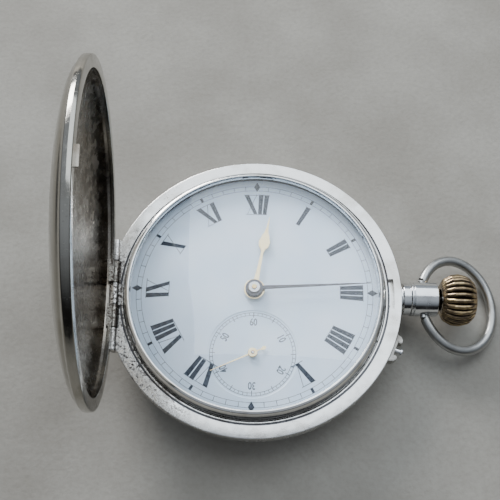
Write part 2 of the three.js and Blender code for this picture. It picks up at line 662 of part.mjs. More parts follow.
function barrel() {
  const drum = ring(6.5, 6.95, 4.3, 6.0, BARREL, 20).add(disc(6.95, 5.75, 6.0, BARREL, 20));
  return drum.add(toothed(60, 7.38, 4.3, 4.7, BARREL).subtract(disc(6.6, 4, 5, BARREL, 20)))
    .subtract(disc(0.96, 4, 7, BARREL, 12));
}

const barrelArbor = () => disc(0.9, 4.0, 6.1, BARREL, 12).add(disc(0.98, 3.1, 4.1, BARREL, 12));
const ratchetWheel = () => toothed(48, 6.66, 2.65, 3.0, BARREL);
const ratchetScrew = () => disc(1.5, 2.3, 2.6, BARREL, 16).subtract(bar(
  { x: BARREL.x - 2, y: BARREL.y }, { x: BARREL.x + 2, y: BARREL.y }, 0.3, 2.2, 2.42,
));
const crownWheel = () => toothed(32, 4.44, 2.65, 3.0, CROWN_WHEEL)
  .add(ring(3.1, 3.95, 2.9, 4.2, CROWN_WHEEL, 24))
  .subtract(disc(1.3, 2, 4, CROWN_WHEEL, 16));
const crownWheelScrew = () => disc(1.8, 2.3, 2.6, CROWN_WHEEL, 16)
  .add(disc(1.2, 2.5, 5.1, CROWN_WHEEL, 12))
  .add(disc(0.5, 5, 6, CROWN_WHEEL, 8))
  .subtract(block(9, 14, -0.15, 0.15, 2.2, 2.42));

const alongStem = (body, x0) => placed(body, "y", 90, [x0, 0, STEM_Z]);
const squareHole = () => rodX(0.52, 12, 20, 0, STEM_Z, 4);
const windingPinion = () => alongStem(toothed(12, 1.5, 0, 1.3), 14.7).subtract(squareHole());
const clutchWheel = () => alongStem(toothed(12, 1.3, 0, 1.7), 16.6).subtract(squareHole());

const click = () => hand([[-1.4, 0.5], [0, 0.8], [2.75, 0.3]], 2.62, 2.94, 70, CLICK)
  .add(disc(0.8, 2.62, 2.94, CLICK, 12))
  .subtract(disc(0.3, 2, 4, CLICK, 8));

function headedScrew(at, headR, headZ0, headZ1, tipZ, shankR = 0.5) {
  return disc(headR, headZ0, headZ1, at, 12)
    .add(disc(shankR, headZ1 - 0.1, tipZ, at, 8))
    .subtract(block(at.x - 2, at.x + 2, at.y - 0.12, at.y + 0.12, headZ0 - 1, headZ0 + 0.14));
}

// ---- Assembly ----
add("case_middle", caseMiddle(), "silver");
add("bezel", bezel(), "silver");
add("crystal", crystal(), "glass");
add("front_cover", frontCover(), "silver");
add("rear_cover", rearCover(), "silver");
add("cuvette", cuvette(), "silver");
add("front_hinge_pin", frontHingeBore(0.28, 8), "steel");
add("rear_hinge_pin", hingeBore(REAR_HINGE, 0.26, 7), "steel");
add("cuvette_hinge_pin", hingeBore(CUVETTE_HINGE, 0.18, 6), "steel");
add("pendant", pendant(), "silver");
add("push_sleeve", pushSleeve(), "steel");
add("stem", stem(), "steel");
add("crown", crown(), "gilt");
add("bow", bow(), "silver");
add("set_pin_guard", pusherGuard(), "silver");
add("set_pin", setPin(), "silver");
add("dial", dial(), "enamel");
add("hour_hand", hourHand(), "gilt");
add("minute_hand", minuteHand(), "blued");
add("seconds_hand", secondsHand(), "gilt");
add("cannon_pinion", cannonPinion(), "steel");
add("hour_wheel", hourWheel(), "brass");
add("minute_wheel", minuteWheel(), "brass");
add("main_plate", mainPlate(), "nickel");
add("barrel_bridge", barrelBridge(), "nickel");
add("train_bridge", trainBridge(), "nickel");
add("pallet_cock", palletCock(), "nickel");
add("balance_cock", balanceCock(), "nickel");
add("barrel", barrel(), "brass");
add("barrel_cover", ring(0.96, 6.42, 4.35, 4.6, BARREL, 20), "brass");
add("mainspring", spiral(1.4, 6.1, 4, 0.25, 4.75, 5.65, BARREL, 8), "steel");
add("barrel_arbor", barrelArbor(), "steel");
add("ratchet_wheel", ratchetWheel(), "steel");
add("ratchet_screw", ratchetScrew(), "steel");
add("click", click(), "steel");
add("crown_wheel", crownWheel(), "steel");
add("crown_wheel_screw", crownWheelScrew(), "steel");
add("winding_pinion", windingPinion(), "steel");
add("clutch_wheel", clutchWheel(), "steel");
add("centre_wheel", centreWheel(), "brass");
add("third_wheel", thirdWheel(), "brass");
add("fourth_wheel", fourthWheel(), "brass");
add("escape_wheel", escapeWheel(), "steel");
add("pallet_fork", palletFork(), "steel");
add("balance_wheel", balanceWheel(), "brass");
add("roller", roller(), "steel");
add("hairspring", spiral(0.7, 3, 4, 0.07, 2.95, 3.1, BALANCE, 8), "blued");
add("lift_spring", liftSpring(), "steel");
add("lock_spring", lockSpring(), "steel");
for (const [name, x, y] of [
  ["barrel_bridge_screw_1", -14, 8],
  ["barrel_bridge_screw_2", 15.6, 9.8],
  ["train_bridge_screw_1", 12.6, -10],
  ["train_bridge_screw_2", 1.5, -17],
]) {
  add(name, headedScrew({ x, y }, 1.1, 2.25, 2.57, 4.0), "blued");
}
add("balance_cock_screw", headedScrew(COCK_FOOT, 0.72, 2.2, 2.48, 3.8, 0.38), "blued");

export default watch;
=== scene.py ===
"""Hunter pocket watch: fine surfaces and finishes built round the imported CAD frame."""
import json
import math

import bmesh
import bpy
from mathutils import Matrix, Vector


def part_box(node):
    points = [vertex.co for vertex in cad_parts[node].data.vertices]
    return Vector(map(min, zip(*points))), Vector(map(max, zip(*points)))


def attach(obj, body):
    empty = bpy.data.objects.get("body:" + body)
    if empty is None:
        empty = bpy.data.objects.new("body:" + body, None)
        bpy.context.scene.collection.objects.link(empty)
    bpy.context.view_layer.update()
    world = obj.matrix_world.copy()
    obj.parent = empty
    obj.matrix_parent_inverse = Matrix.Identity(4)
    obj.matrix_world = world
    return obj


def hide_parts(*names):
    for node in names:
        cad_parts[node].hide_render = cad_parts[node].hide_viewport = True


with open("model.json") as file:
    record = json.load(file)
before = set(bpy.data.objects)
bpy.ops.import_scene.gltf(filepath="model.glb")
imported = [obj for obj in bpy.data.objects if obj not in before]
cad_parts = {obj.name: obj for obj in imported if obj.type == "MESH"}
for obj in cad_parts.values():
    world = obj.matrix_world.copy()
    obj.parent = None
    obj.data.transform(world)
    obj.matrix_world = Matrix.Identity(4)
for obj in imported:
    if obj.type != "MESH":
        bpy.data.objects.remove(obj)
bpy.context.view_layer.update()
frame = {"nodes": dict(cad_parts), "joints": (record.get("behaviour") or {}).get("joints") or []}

# ---- Measures, in millimetres unless a name says otherwise ----
MM = 0.001
JOINTS = {joint["name"]: joint for joint in frame["joints"]}


def joint_point(name):
    """A point on a joint's axis."""
    return Vector(JOINTS[name]["pos_m"]) / MM


def node_box(name):
    """The lowest and highest corners of a CAD node."""
    low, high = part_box(name)
    return low / MM, high / MM


# The front hinge sits a few degrees round from 9 o'clock: its pieces are made square and then turned.
HINGE_POINT = joint_point("front_cover_hinge")
HINGE_AXIS = JOINTS["front_cover_hinge"]["axis"]
FRONT_HINGE_TURN = math.atan2(-HINGE_AXIS[0], HINGE_AXIS[1])
FRONT_HINGE = Vector((-math.hypot(HINGE_POINT.x, HINGE_POINT.y), 0, HINGE_POINT.z))
REAR_HINGE = joint_point("rear_cover_hinge")
CUVETTE_HINGE = joint_point("cuvette_hinge")
BOW_PIN = joint_point("bow_swing")
SECONDS = tuple(joint_point("seconds_turn")[:2])  # the centre of the seconds dial
LID_ANGLE = math.radians(JOINTS["front_cover_hinge"]["range_deg"][1])
STEM_Z = BOW_PIN.z
CASE_R = 25.0
RIM_Z = 8.2  # the case rim, just below the hinge barrels
DIAL_TOP = node_box("dial")[1].z
BEZEL_TOP = node_box("bezel")[1].z
CRYSTAL_TOP = node_box("crystal")[1].z
BUTTON_Z = (node_box("set_pin")[0].z + node_box("set_pin")[1].z) / 2
BUTTON_ANGLE = math.radians(-22)  # from 3 o'clock towards 4
BOW_DROOP = math.radians(20)  # how far the bow hangs below level at rest
FINE = 192  # sides of the large turned pieces
SMALL = 48  # sides of the small turned pieces
CREASE = 32  # degrees: an edge sharper than this stays crisp
TINY = 1e-6  # shorter than any real edge


# ---- Materials ----
# Numbers of the Mix node's sockets that are used when it mixes colours.
MIX_FACTOR, MIX_A, MIX_B, MIX_RESULT = 0, 6, 7, 2


class Finish:
    """A material with one Principled shader and short calls for the nodes that feed it."""

    def __init__(self, name, color, roughness, metallic=1.0):
        self.material = bpy.data.materials.new(name)
        self.material.use_nodes = True
        self.tree = self.material.node_tree
        self.tree.nodes.clear()
        self.output = self.tree.nodes.new("ShaderNodeOutputMaterial")
        self.shader = self.tree.nodes.new("ShaderNodeBsdfPrincipled")
        self.tree.links.new(self.shader.outputs["BSDF"], self.output.inputs["Surface"])
        self.place = self.tree.nodes.new("ShaderNodeTexCoord").outputs["Object"]
        self.look = None  # what feeds the base colour, for a finish that mixes more over it
        self.set("Base Color", (*color, 1))
        self.set("Roughness", roughness)
        self.set("Metallic", metallic)

    def set(self, socket, value):
        self.shader.inputs[socket].default_value = value

    def feed(self, socket, output):
        self.tree.links.new(output, self.shader.inputs[socket])

    def plug(self, socket, value):
        """Links a socket to another node's output, or sets it to a plain value."""
        if isinstance(value, bpy.types.NodeSocket):
            self.tree.links.new(value, socket)
        else:
            socket.default_value = value

    def node(self, kind, **values):
        """A new node, with each socket that is named linked or set."""
        made = self.tree.nodes.new(kind)
        for key, value in values.items():
            self.plug(made.inputs[key], value)
        return made

    def noise(self, size, detail=4.0, stretch=(1, 1, 1), roughness=0.55, offset=(0, 0, 0)):
        """Noise whose features are about size millimetres across, drawn out by stretch."""
        scale = [1 / (size * MM * s) for s in stretch]
        mapped = self.node("ShaderNodeMapping", Vector=self.place, Scale=scale, Location=offset)
        made = self.node("ShaderNodeTexNoise", Vector=mapped.outputs[0], Scale=1.0, Detail=detail,
                         Roughness=roughness)
        return made.outputs["Fac"]

    def ramp(self, value, low, high, to_low=0.0, to_high=1.0):
        """A smooth step from to_low to to_high as the value goes from low to high."""
        limits = {"From Min": low, "From Max": high, "To Min": to_low, "To Max": to_high}
        made = self.node("ShaderNodeMapRange", Value=value, **limits)
        made.interpolation_type = "SMOOTHSTEP"
        return made.outputs["Result"]

    def math(self, operation, a, b=0.0):
        made = self.tree.nodes.new("ShaderNodeMath")
        made.operation = operation
        self.plug(made.inputs[0], a)
        self.plug(made.inputs[1], b)
        return made.outputs[0]

    def near(self, point, reach):
        """1 within a quarter of the reach of a point, falling to 0 at the reach."""
        made = self.tree.nodes.new("ShaderNodeVectorMath")
        made.operation = "DISTANCE"
        self.tree.links.new(self.place, made.inputs[0])
        made.inputs[1].default_value = [c * MM for c in point]
        return self.ramp(made.outputs["Value"], reach * 0.25 * MM, reach * MM, 1.0, 0.0)

    def mix(self, factor, a, b):
        """Colour a where the factor is 0, and b where it is 1."""
        made = self.tree.nodes.new("ShaderNodeMix")
        made.data_type = "RGBA"
        self.plug(made.inputs[MIX_FACTOR], factor)
        for index, color in ((MIX_A, a), (MIX_B, b)):
            is_plain = not isinstance(color, bpy.types.NodeSocket)
            self.plug(made.inputs[index], (*color, 1) if is_plain else color)
        return made.outputs[MIX_RESULT]

    def bump(self, height, depth):
        """Feeds the normal from a height of 0 to 1 that stands for depth millimetres."""
        made = self.node("ShaderNodeBump", Height=height, Strength=1.0, Distance=depth * MM)
        self.feed("Normal", made.outputs[0])


PIT_COLOR = (0.1, 0.075, 0.065)


def worn_metal(name, color, tarnish, roughness, tarnished=0.35, pits=(), scratch=0.005, grime=0.25):
    """Metal with patches of tarnish, fine scratches and a mottled shine, pitted near the given places."""
    f = Finish(name, color, roughness[0])
    cloud = f.noise(5.0, 6)
    patch = f.ramp(cloud, 0.58 - tarnished * 0.4, 0.86 - tarnished * 0.2)
    speckle = f.noise(0.35, 5, offset=(3, 1, 2))
    dirt = f.ramp(speckle, 0.62, 0.74, 0.0, grime)
    look = f.mix(patch, color, tarnish)
    look = f.mix(dirt, look, [c * 0.35 for c in tarnish])
    scratches_a = f.noise(0.12, 2, stretch=(14, 1, 3))
    scratches_b = f.noise(0.1, 2, stretch=(1, 11, 4), offset=(5, 2, 7))
    lines = f.math("MAXIMUM", f.ramp(scratches_a, 0.66, 0.72), f.ramp(scratches_b, 0.66, 0.72))
    shine = f.ramp(f.noise(1.6, 5, offset=(1, 8, 3)), 0.35, 0.7, roughness[0], roughness[1])
    shine = f.math("ADD", shine, f.math("MULTIPLY", lines, 0.1))
    height = f.math("SUBTRACT", f.math("MULTIPLY", speckle, 0.06), f.math("MULTIPLY", lines, 0.5))
    for centre, reach, amount in pits:
        local = f.near(centre, reach)
        pitting = f.noise(0.42, 7, offset=(9, 4, 1), roughness=0.75)
        holes = f.ramp(pitting, 0.6 - 0.14 * amount, 0.72 - 0.1 * amount)
        eaten = f.math("MULTIPLY", local, holes)
        look = f.mix(eaten, look, PIT_COLOR)
        shine = f.math("ADD", shine, f.math("MULTIPLY", eaten, 0.4))
        height = f.math("SUBTRACT", height, f.math("MULTIPLY", eaten, 3.0))
    f.look = look
    f.feed("Base Color", look)
    f.feed("Roughness", f.math("MINIMUM", shine, 1.0))
    f.bump(height, scratch)
    return f


# Pitted places: the middle, how far the pits reach, and how dense they are.
RUST = ((-17.5, -17.5, 8), 11.0, 0.8)
HINGE_DIRT = ((-21.5, -12.5, 8), 6.0, 0.8)
TOP_DIRT = ((-17, 18, 8), 5.0, 0.3)
HINGE_GRIME = ((-23.7, -1.2, 8), 13.0, 1.3)

silver = worn_metal("silver_case", (0.8, 0.79, 0.77), (0.52, 0.49, 0.45), (0.16, 0.3),
                    pits=(RUST, HINGE_DIRT, TOP_DIRT, HINGE_GRIME)).material
lid_silver = worn_metal("silver_cover", (0.38, 0.365, 0.33), (0.27, 0.25, 0.21), (0.1, 0.22),
                        tarnished=0.3, pits=(HINGE_GRIME,)).material
lid_inside = worn_metal("silver_cover_inside", (0.36, 0.33, 0.29), (0.17, 0.135, 0.1), (0.18, 0.34),
                        tarnished=0.45, grime=0.5).material


def bezel_finish():
    """Silver, bright at the top edge and darkened down its side by painted shade."""
    f = worn_metal("silver_bezel", (0.82, 0.81, 0.79), (0.45, 0.42, 0.38), (0.1, 0.2), tarnished=0.2)
    split = f.node("ShaderNodeSeparateXYZ", Vector=f.place)
    height = f.math("ADD", split.outputs["Z"], f.math("MULTIPLY", f.noise(2.0, 4), 0.3 * MM))
    # Painted shade: near black low on the bezel's side, fading to the plain silver towards the top edge.
    rise = f.ramp(height, (RIM_Z + 1.4) * MM, (BEZEL_TOP - 0.2) * MM)
    f.feed("Base Color", f.mix(rise, (0.05, 0.043, 0.036), f.look))
    return f.material


bezel_silver = bezel_finish()
satin = worn_metal("satin_silver", (0.46, 0.46, 0.45), (0.34, 0.33, 0.31), (0.28, 0.4),
                   scratch=0.01).material
guard_silver = worn_metal("grimy_silver", (0.4, 0.39, 0.37), (0.2, 0.18, 0.16), (0.3, 0.5),
                          tarnished=0.6).material
bright = worn_metal("bright_silver", (0.8, 0.81, 0.82), (0.45, 0.44, 0.43), (0.08, 0.2),
                    tarnished=0.2).material
back_silver = worn_metal("silver_back", (0.78, 0.77, 0.74), (0.45, 0.41, 0.35), (0.15, 0.35),
                         tarnished=0.5).material
steel = worn_metal("polished_steel", (0.62, 0.63, 0.65), (0.4, 0.38, 0.35), (0.12, 0.25),
                   tarnished=0.15).material
brass = worn_metal("gilt_brass", (0.8, 0.62, 0.3), (0.55, 0.38, 0.17), (0.18, 0.3),
                   tarnished=0.3).material
blued = worn_metal("blued_steel", (0.03, 0.045, 0.11), (0.05, 0.04, 0.06), (0.15, 0.25),
                   tarnished=0.3).material
dark_steel = worn_metal("dark_hand_steel", (0.1, 0.1, 0.11), (0.06, 0.05, 0.05), (0.25, 0.4)).material
gold = worn_metal("hand_gold", (0.92, 0.76, 0.47), (0.72, 0.52, 0.27), (0.16, 0.3),
                  tarnished=0.2).material


def nickel_finish():
    """Nickel with broad stripes across the plate and bridges."""
    f = worn_metal("striped_nickel", (0.75, 0.73, 0.68), (0.55, 0.5, 0.42), (0.14, 0.26), tarnished=0.15)
    stripe = 2.4
    wave = f.node("ShaderNodeTexWave", Vector=f.place, Scale=1 / (stripe * MM))
    wave.bands_direction = "DIAGONAL"
    wave.wave_profile = "SAW"
    wave.inputs["Distortion"].default_value = 0.0
    f.feed("Roughness", f.ramp(wave.outputs["Fac"], 0.0, 1.0, 0.12, 0.38))
    f.bump(wave.outputs["Fac"], 0.02)
    return f.material


def enamel_finish():
    """Fired white enamel: glossy, faintly mottled."""
    f = Finish("fired_enamel", (0.74, 0.83, 0.93), 0.12, 0.0)
    cloud = f.noise(7.0, 3)
    f.feed("Base Color", f.mix(f.ramp(cloud, 0.3, 0.7), (0.62, 0.76, 0.92), (0.7, 0.82, 0.96)))
    f.feed("Roughness", f.ramp(f.noise(0.8, 5), 0.3, 0.7, 0.1, 0.2))
    f.bump(f.noise(1.5, 2), 0.004)
    f.set("Specular IOR Level", 0.2)
    return f.material


def ink_finish(name, dark, worn, patch, fade):
    """Fired print, dark where it is whole and paler in patches where it is worn up to fade."""
    f = Finish(name, dark, 0.3, 0.0)
    f.feed("Base Color", f.mix(f.ramp(f.noise(patch, 4), 0.4, fade), dark, worn))
    f.feed("Roughness", f.ramp(f.noise(0.3, 3), 0.3, 0.7, 0.2, 0.4))
    f.set("Specular IOR Level", 0.2)
    return f.material


def glass_finish():
    """Clear glass that lets lamps through, with a trace of dust."""
    f = Finish("watch_glass", (1, 1, 1), 0.0, 0.0)
    f.set("Transmission Weight", 1.0)
    f.set("IOR", 1.45)
    f.feed("Roughness", f.ramp(f.noise(1.2, 6), 0.62, 0.8, 0.0, 0.06))
    clear = f.tree.nodes.new("ShaderNodeBsdfTransparent")
    path = f.tree.nodes.new("ShaderNodeLightPath")
    blend = f.tree.nodes.new("ShaderNodeMixShader")
    f.tree.links.new(path.outputs["Is Shadow Ray"], blend.inputs[0])
    f.tree.links.new(f.shader.outputs[0], blend.inputs[1])
    f.tree.links.new(clear.outputs[0], blend.inputs[2])
    f.tree.links.new(blend.outputs[0], f.output.inputs["Surface"])
    return f.material


def gilt_finish():
    """Worn gilding on the crown: bright on the ribs, brown grime between them."""
    f = Finish("worn_gilt", (0.75, 0.52, 0.24), 0.25)
    depth = f.tree.nodes.new("ShaderNodeAttribute")
    depth.attribute_name = "groove"
    wear = f.noise(1.1, 6)
    ribs = f.mix(f.ramp(wear, 0.3, 0.6), (0.56, 0.42, 0.22), (0.26, 0.19, 0.12))
    dirty = f.ramp(f.math("ADD", depth.outputs["Fac"], f.math("MULTIPLY", wear, 0.3)), 0.2, 0.75)
    f.feed("Base Color", f.mix(dirty, ribs, (0.035, 0.026, 0.02)))
    f.feed("Roughness", f.ramp(depth.outputs["Fac"], 0.2, 1.0, 0.22, 0.6))
    f.bump(f.noise(0.2, 5), 0.01)
    return f.material


nickel = nickel_finish()
enamel = enamel_finish()
ink = ink_finish("dial_ink", (0.012, 0.02, 0.035), (0.05, 0.065, 0.09), 0.5, 0.7)
fine_ink = ink_finish("dial_hairline_ink", (0.06, 0.08, 0.11), (0.2, 0.24, 0.29), 0.6, 0.65)
glass = glass_finish()
gilt = gilt_finish()


# ---- Mesh helpers ----
def mark_sharp(mesh, degrees=CREASE):
    """Smooths the faces, but keeps edges sharper than this crisp."""
    work = bmesh.new()
    work.from_mesh(mesh)
    bmesh.ops.recalc_face_normals(work, faces=work.faces)
    for face in work.faces:
        face.smooth = True
    for edge in work.edges:
        edge.smooth = edge.is_manifold and edge.calc_face_angle(0) < math.radians(degrees)
    work.to_mesh(mesh)
    work.free()


def linked(name, data):
    """A new object in the scene, holding a mesh, curve, light or camera."""
    made = bpy.data.objects.new(name, data)
    bpy.context.scene.collection.objects.link(made)
    return made


def new_object(name, vertices, faces, degrees=CREASE):
    """An object from vertices in millimetres."""
    mesh = bpy.data.meshes.new(name)
    mesh.from_pydata([Vector(v) * MM for v in vertices], [], faces)
    mesh.validate()
    mark_sharp(mesh, degrees)
    return linked(name, mesh)


def evaluated_mesh(obj):
    """A new mesh of what an object's modifiers or curve make."""
    graph = bpy.context.evaluated_depsgraph_get()
    return bpy.data.meshes.new_from_object(obj.evaluated_get(graph))


def fillet(profile, closed=False, steps=5):
    """The outline with each corner rounded by its own radius, given as a third number."""
    rounded = []
    count = len(profile)
    for i, corner in enumerate(profile):
        point = Vector(corner[:2])
        radius = corner[2] if len(corner) > 2 else 0
        if radius == 0 or (not closed and i in (0, count - 1)):
            rounded.append(tuple(point))
            continue
        before = Vector(profile[i - 1][:2]) - point
        after = Vector(profile[(i + 1) % count][:2]) - point
        half = before.angle(after) / 2
        reach = min(radius / math.tan(half), before.length * 0.49, after.length * 0.49)
        start = point + before.normalized() * reach
        end = point + after.normalized() * reach
        for k in range(steps + 1):
            t = k / steps
            rounded.append(tuple((1 - t) ** 2 * start + 2 * t * (1 - t) * point + t ** 2 * end))
    return rounded


def turned(name, profile, sides=FINE, closed=False, degrees=CREASE, steps=5):
    """A lathed solid about Z from (radius, z, corner radius) points."""
    outline = fillet(profile, closed, steps)
    vertices = []
    rings = []
    for r, z in outline:
        if r < TINY:
            rings.append([len(vertices)])
            vertices.append((0, 0, z))
            continue
        rings.append(list(range(len(vertices), len(vertices) + sides)))
        for k in range(sides):
            angle = 2 * math.pi * k / sides
            vertices.append((r * math.cos(angle), r * math.sin(angle), z))
    faces = []
    pairs = list(zip(rings, rings[1:]))
    if closed:
        pairs.append((rings[-1], rings[0]))
    for a, b in pairs:
        for k in range(sides):
            n = (k + 1) % sides
            if len(a) == 1 and len(b) == 1:
                continue
            if len(a) == 1:
                faces.append((a[0], b[n], b[k]))
            elif len(b) == 1:
                faces.append((a[k], a[n], b[0]))
            else:
                faces.append((a[k], a[n], b[n], b[k]))
    return new_object(name, vertices, faces, degrees)


def slab(name, outline, z0, z1, bevel=0.0):
    """An outline in plan, given thickness, with its edges broken by bevel millimetres."""
    work = bmesh.new()
    bottom = [work.verts.new((x, y, z0)) for x, y in outline]
    face = work.faces.new(bottom)
    raised = bmesh.ops.extrude_face_region(work, geom=[face])["geom"]
    top = [item for item in raised if isinstance(item, bmesh.types.BMVert)]
    bmesh.ops.translate(work, vec=(0, 0, z1 - z0), verts=top)
    if bevel:
        rims = [e for e in work.edges if abs(e.verts[0].co.z - e.verts[1].co.z) < TINY]
        bmesh.ops.bevel(work, geom=rims, offset=bevel, segments=2, affect="EDGES", clamp_overlap=True)
    bmesh.ops.scale(work, vec=(MM, MM, MM), verts=work.verts)
    mesh = bpy.data.meshes.new(name)
    work.to_mesh(mesh)
    work.free()
    mark_sharp(mesh)
    return linked(name, mesh)


def block(name, low, high):
    """A box between two corners, used for webs and for cutting."""
    corners = [(x, y, z) for x in (low[0], high[0]) for y in (low[1], high[1]) for z in (low[2], high[2])]
    faces = [(0, 1, 3, 2), (4, 6, 7, 5), (0, 4, 5, 1), (2, 3, 7, 6), (0, 2, 6, 4), (1, 5, 7, 3)]
    return new_object(name, corners, faces)


def rod(name, radius, start, end, sides=SMALL, edge=0.08):
    """A round bar between two points, with its ends slightly rounded."""
    start, end = Vector(start), Vector(end)
    length = (end - start).length
    made = turned(name, [(0, 0), (radius, 0, edge), (radius, length, edge), (0, length)], sides, steps=3)
    turn = Vector((0, 0, 1)).rotation_difference(end - start).to_matrix().to_4x4()
    made.data.transform(Matrix.Translation(start * MM) @ turn)
    return made


def bake(obj):
    """Replaces the mesh by what its modifiers make."""
    mesh = evaluated_mesh(obj)
    obj.modifiers.clear()
    obj.data = mesh


def cut_out(obj, tools):
    """Cuts the tools out of obj and drops them."""
    for tool in tools:
        change = obj.modifiers.new("change", "BOOLEAN")
        change.operation = "DIFFERENCE"
        change.solver = "EXACT"
        change.object = tool
        bake(obj)
        bpy.data.objects.remove(tool)
    mark_sharp(obj.data)


def join(name, pieces):
    """One object from several, without welding them."""
    work = bmesh.new()
    for piece in pieces:
        mesh = piece.data.copy()
        mesh.transform(piece.matrix_world)
        work.from_mesh(mesh)
    mesh = bpy.data.meshes.new(name)
    work.to_mesh(mesh)
    work.free()
    for piece in pieces:
        bpy.data.objects.remove(piece)
    return linked(name, mesh)


def place(obj, finish, body, slot, *nodes):
    """Gives a piece its finish and its body, and hides the CAD nodes that it stands for. The slot is not
    used.
    """
    obj.data.materials.clear()
    obj.data.materials.append(finish)
    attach(obj, body)
    if nodes:
        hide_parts(*nodes)


def round_case(pieces, angle):
    """Turns pieces about the middle of the case."""
    for piece in pieces:
        piece.data.transform(Matrix.Rotation(angle, 4, "Z"))
    return pieces


def about(point, axis, angle):
    """A turn about an axis through a point given in millimetres."""
    shift = Matrix.Translation(Vector(point) * MM)
    return shift @ Matrix.Rotation(angle, 4, axis) @ shift.inverted()


def to_centre(obj, centre):
    """Moves a piece made about the middle of the case to another centre in plan."""
    obj.data.transform(Matrix.Translation((centre[0] * MM, centre[1] * MM, 0)))
    return obj


def quarter(flat_r, rim_r, flat_z, rim_z, steps=18):
    """Points of a quarter ellipse from a cover's flat out to its rim."""
    points = []
    for i in range(steps + 1):
        angle = math.pi / 2 * i / steps
        r = flat_r + (rim_r - flat_r) * math.sin(angle)
        z = flat_z + (rim_z - flat_z) * (1 - math.cos(angle))
        points.append((r, z))
    return points


def rim_arc(inner, outer, half_degrees, steps=12):
    """An outline that bends along the rim across 3 o'clock, between two radii."""
    half = math.radians(half_degrees)
    outline = []
    for r, way in ((outer, 1), (inner, -1)):
        for i in range(steps + 1):
            angle = way * half * (2 * i / steps - 1)
            outline.append((r * math.cos(angle), r * math.sin(angle)))
    return outline


def knuckles(name, hinge, radius, spans):
    """Hinge barrels along Y round the hinge line, one for each span."""
    parts = []
    for index, (y0, y1) in enumerate(spans):
        ends = (hinge.x, y0, hinge.z), (hinge.x, y1, hinge.z)
        parts.append(rod(f"{name}_{index}", radius, *ends, sides=40, edge=0.12))
    return parts


def webs(spans, x_range, z_range):
    """Blocks that tie the knuckles to the part that carries them."""
    return [block("web", (x_range[0], y0, z_range[0]), (x_range[1], y1, z_range[1])) for y0, y1 in spans]


# ---- Case ----
# Where along its hinge each part has its knuckles.
FRONT_CASE_SPANS = [(-10, -6.1), (-1.9, 1.9), (6.1, 10)]
FRONT_COVER_SPANS = [(-5.98, -2.02), (2.02, 5.98)]
REAR_CASE_SPANS = [(-7, -4.4), (-1.3, 1.3), (4.4, 7)]
REAR_COVER_SPANS = [(-4.32, -1.38), (1.38, 4.32)]
CUVETTE_CASE_SPANS = [(-6, -4.1), (4.1, 6)]
CUVETTE_SPANS = [(-4, 4)]
FRONT_KNUCKLE_R = 0.7
REAR_KNUCKLE_R = 0.55
CUVETTE_KNUCKLE_R = 0.4
NOTCH_X = -27  # where the tools that cut the hinge notches start, outside the case


def case_middle():
    """The band with its rim, hinge notches, catch slot and the holes for the stem and the button."""
    body = turned("case_band", [
        (21.6, 4.72, 0.1), (24.35, 4.72, 0.25), (24.85, 5.6, 0.5), (24.98, 6.1, 0.3),
        (CASE_R, RIM_Z - 0.05, 0.22), (22.84, RIM_Z, 0.06), (22.82, RIM_Z - 0.4, 0.05),
        (22.58, RIM_Z - 0.4, 0.05), (22.56, RIM_Z - 0.02, 0.08), (22.25, RIM_Z - 0.02, 0.1), (22.2, 7.3),
        (21.6, 7.25)], FINE * 2, closed=True)
    cut_out(body, [
        *round_case([block("front_notch", (NOTCH_X, -11, 6.4), (-22.75, 11, 9))], FRONT_HINGE_TURN),
        block("rear_notch", (NOTCH_X, -7.4, 3), (-23, 7.4, 5.5)),
        block("cuvette_notch", (-22.9, -6.4, 3), (-21, 6.4, 5.2)),
        slab("catch_slot", rim_arc(22.85, 23.72, 6.6, steps=16), 7.25, 9),
        rod("stem_hole", 1.05, (20, 0, STEM_Z), (26, 0, STEM_Z)),
        *round_case([rod("button_hole", 0.5, (20, 0, BUTTON_Z), (26, 0, BUTTON_Z))], BUTTON_ANGLE),
    ])
    front = [*knuckles("case_ear", FRONT_HINGE, FRONT_KNUCKLE_R, FRONT_CASE_SPANS),
             *webs(FRONT_CASE_SPANS, (-23.9, -22.6), (6.95, FRONT_HINGE.z - 0.05))]
    round_case(front, FRONT_HINGE_TURN)
    rear = [*knuckles("rear_ear", REAR_HINGE, REAR_KNUCKLE_R, REAR_CASE_SPANS),
            *webs(REAR_CASE_SPANS, (-23.9, -22.9), (4.78, 5.12))]
    inner = [*knuckles("inner_ear", CUVETTE_HINGE, CUVETTE_KNUCKLE_R, CUVETTE_CASE_SPANS),
             *webs(CUVETTE_CASE_SPANS, (-22.95, -21.75), (4.2, 4.5))]
    whole = join("case_band_and_ears", [body, *front, *rear, *inner])
    mark_sharp(whole.data)
    place(whole, silver, "case", "silver", "case_middle")


def rim_groove_grime():
    """A dark ring at the bottom of the groove in the rim, as painted shade."""
    place(annulus("rim_groove_grime", 22.59, 22.81, RIM_Z - 0.3), dark_steel, "case", "silver")


def lock_spring_nose():
    """The lock spring's polished nose, seen in the catch slot."""
    nose = slab("lock_spring_nose", rim_arc(22.86, 23.06, 5.2), 7.3, 8.0, 0.04)
    place(nose, bright, "case", "steel")


def hinge_pins():
    """Three straight pins, one for each hinge."""
    pins = [
        ("front_hinge_pin", FRONT_HINGE, 0.28, 9.98, FRONT_HINGE_TURN),
        ("rear_hinge_pin", REAR_HINGE, 0.26, 6.98, 0),
        ("cuvette_hinge_pin", CUVETTE_HINGE, 0.18, 5.98, 0),
    ]
    for node, hinge, radius, half_length, turn in pins:
        ends = (hinge.x, -half_length, hinge.z), (hinge.x, half_length, hinge.z)
        pin = rod(node + "_fine", radius, *ends, sides=24, edge=0.06)
        round_case([pin], turn)
        place(pin, steel, "case", "steel", node)


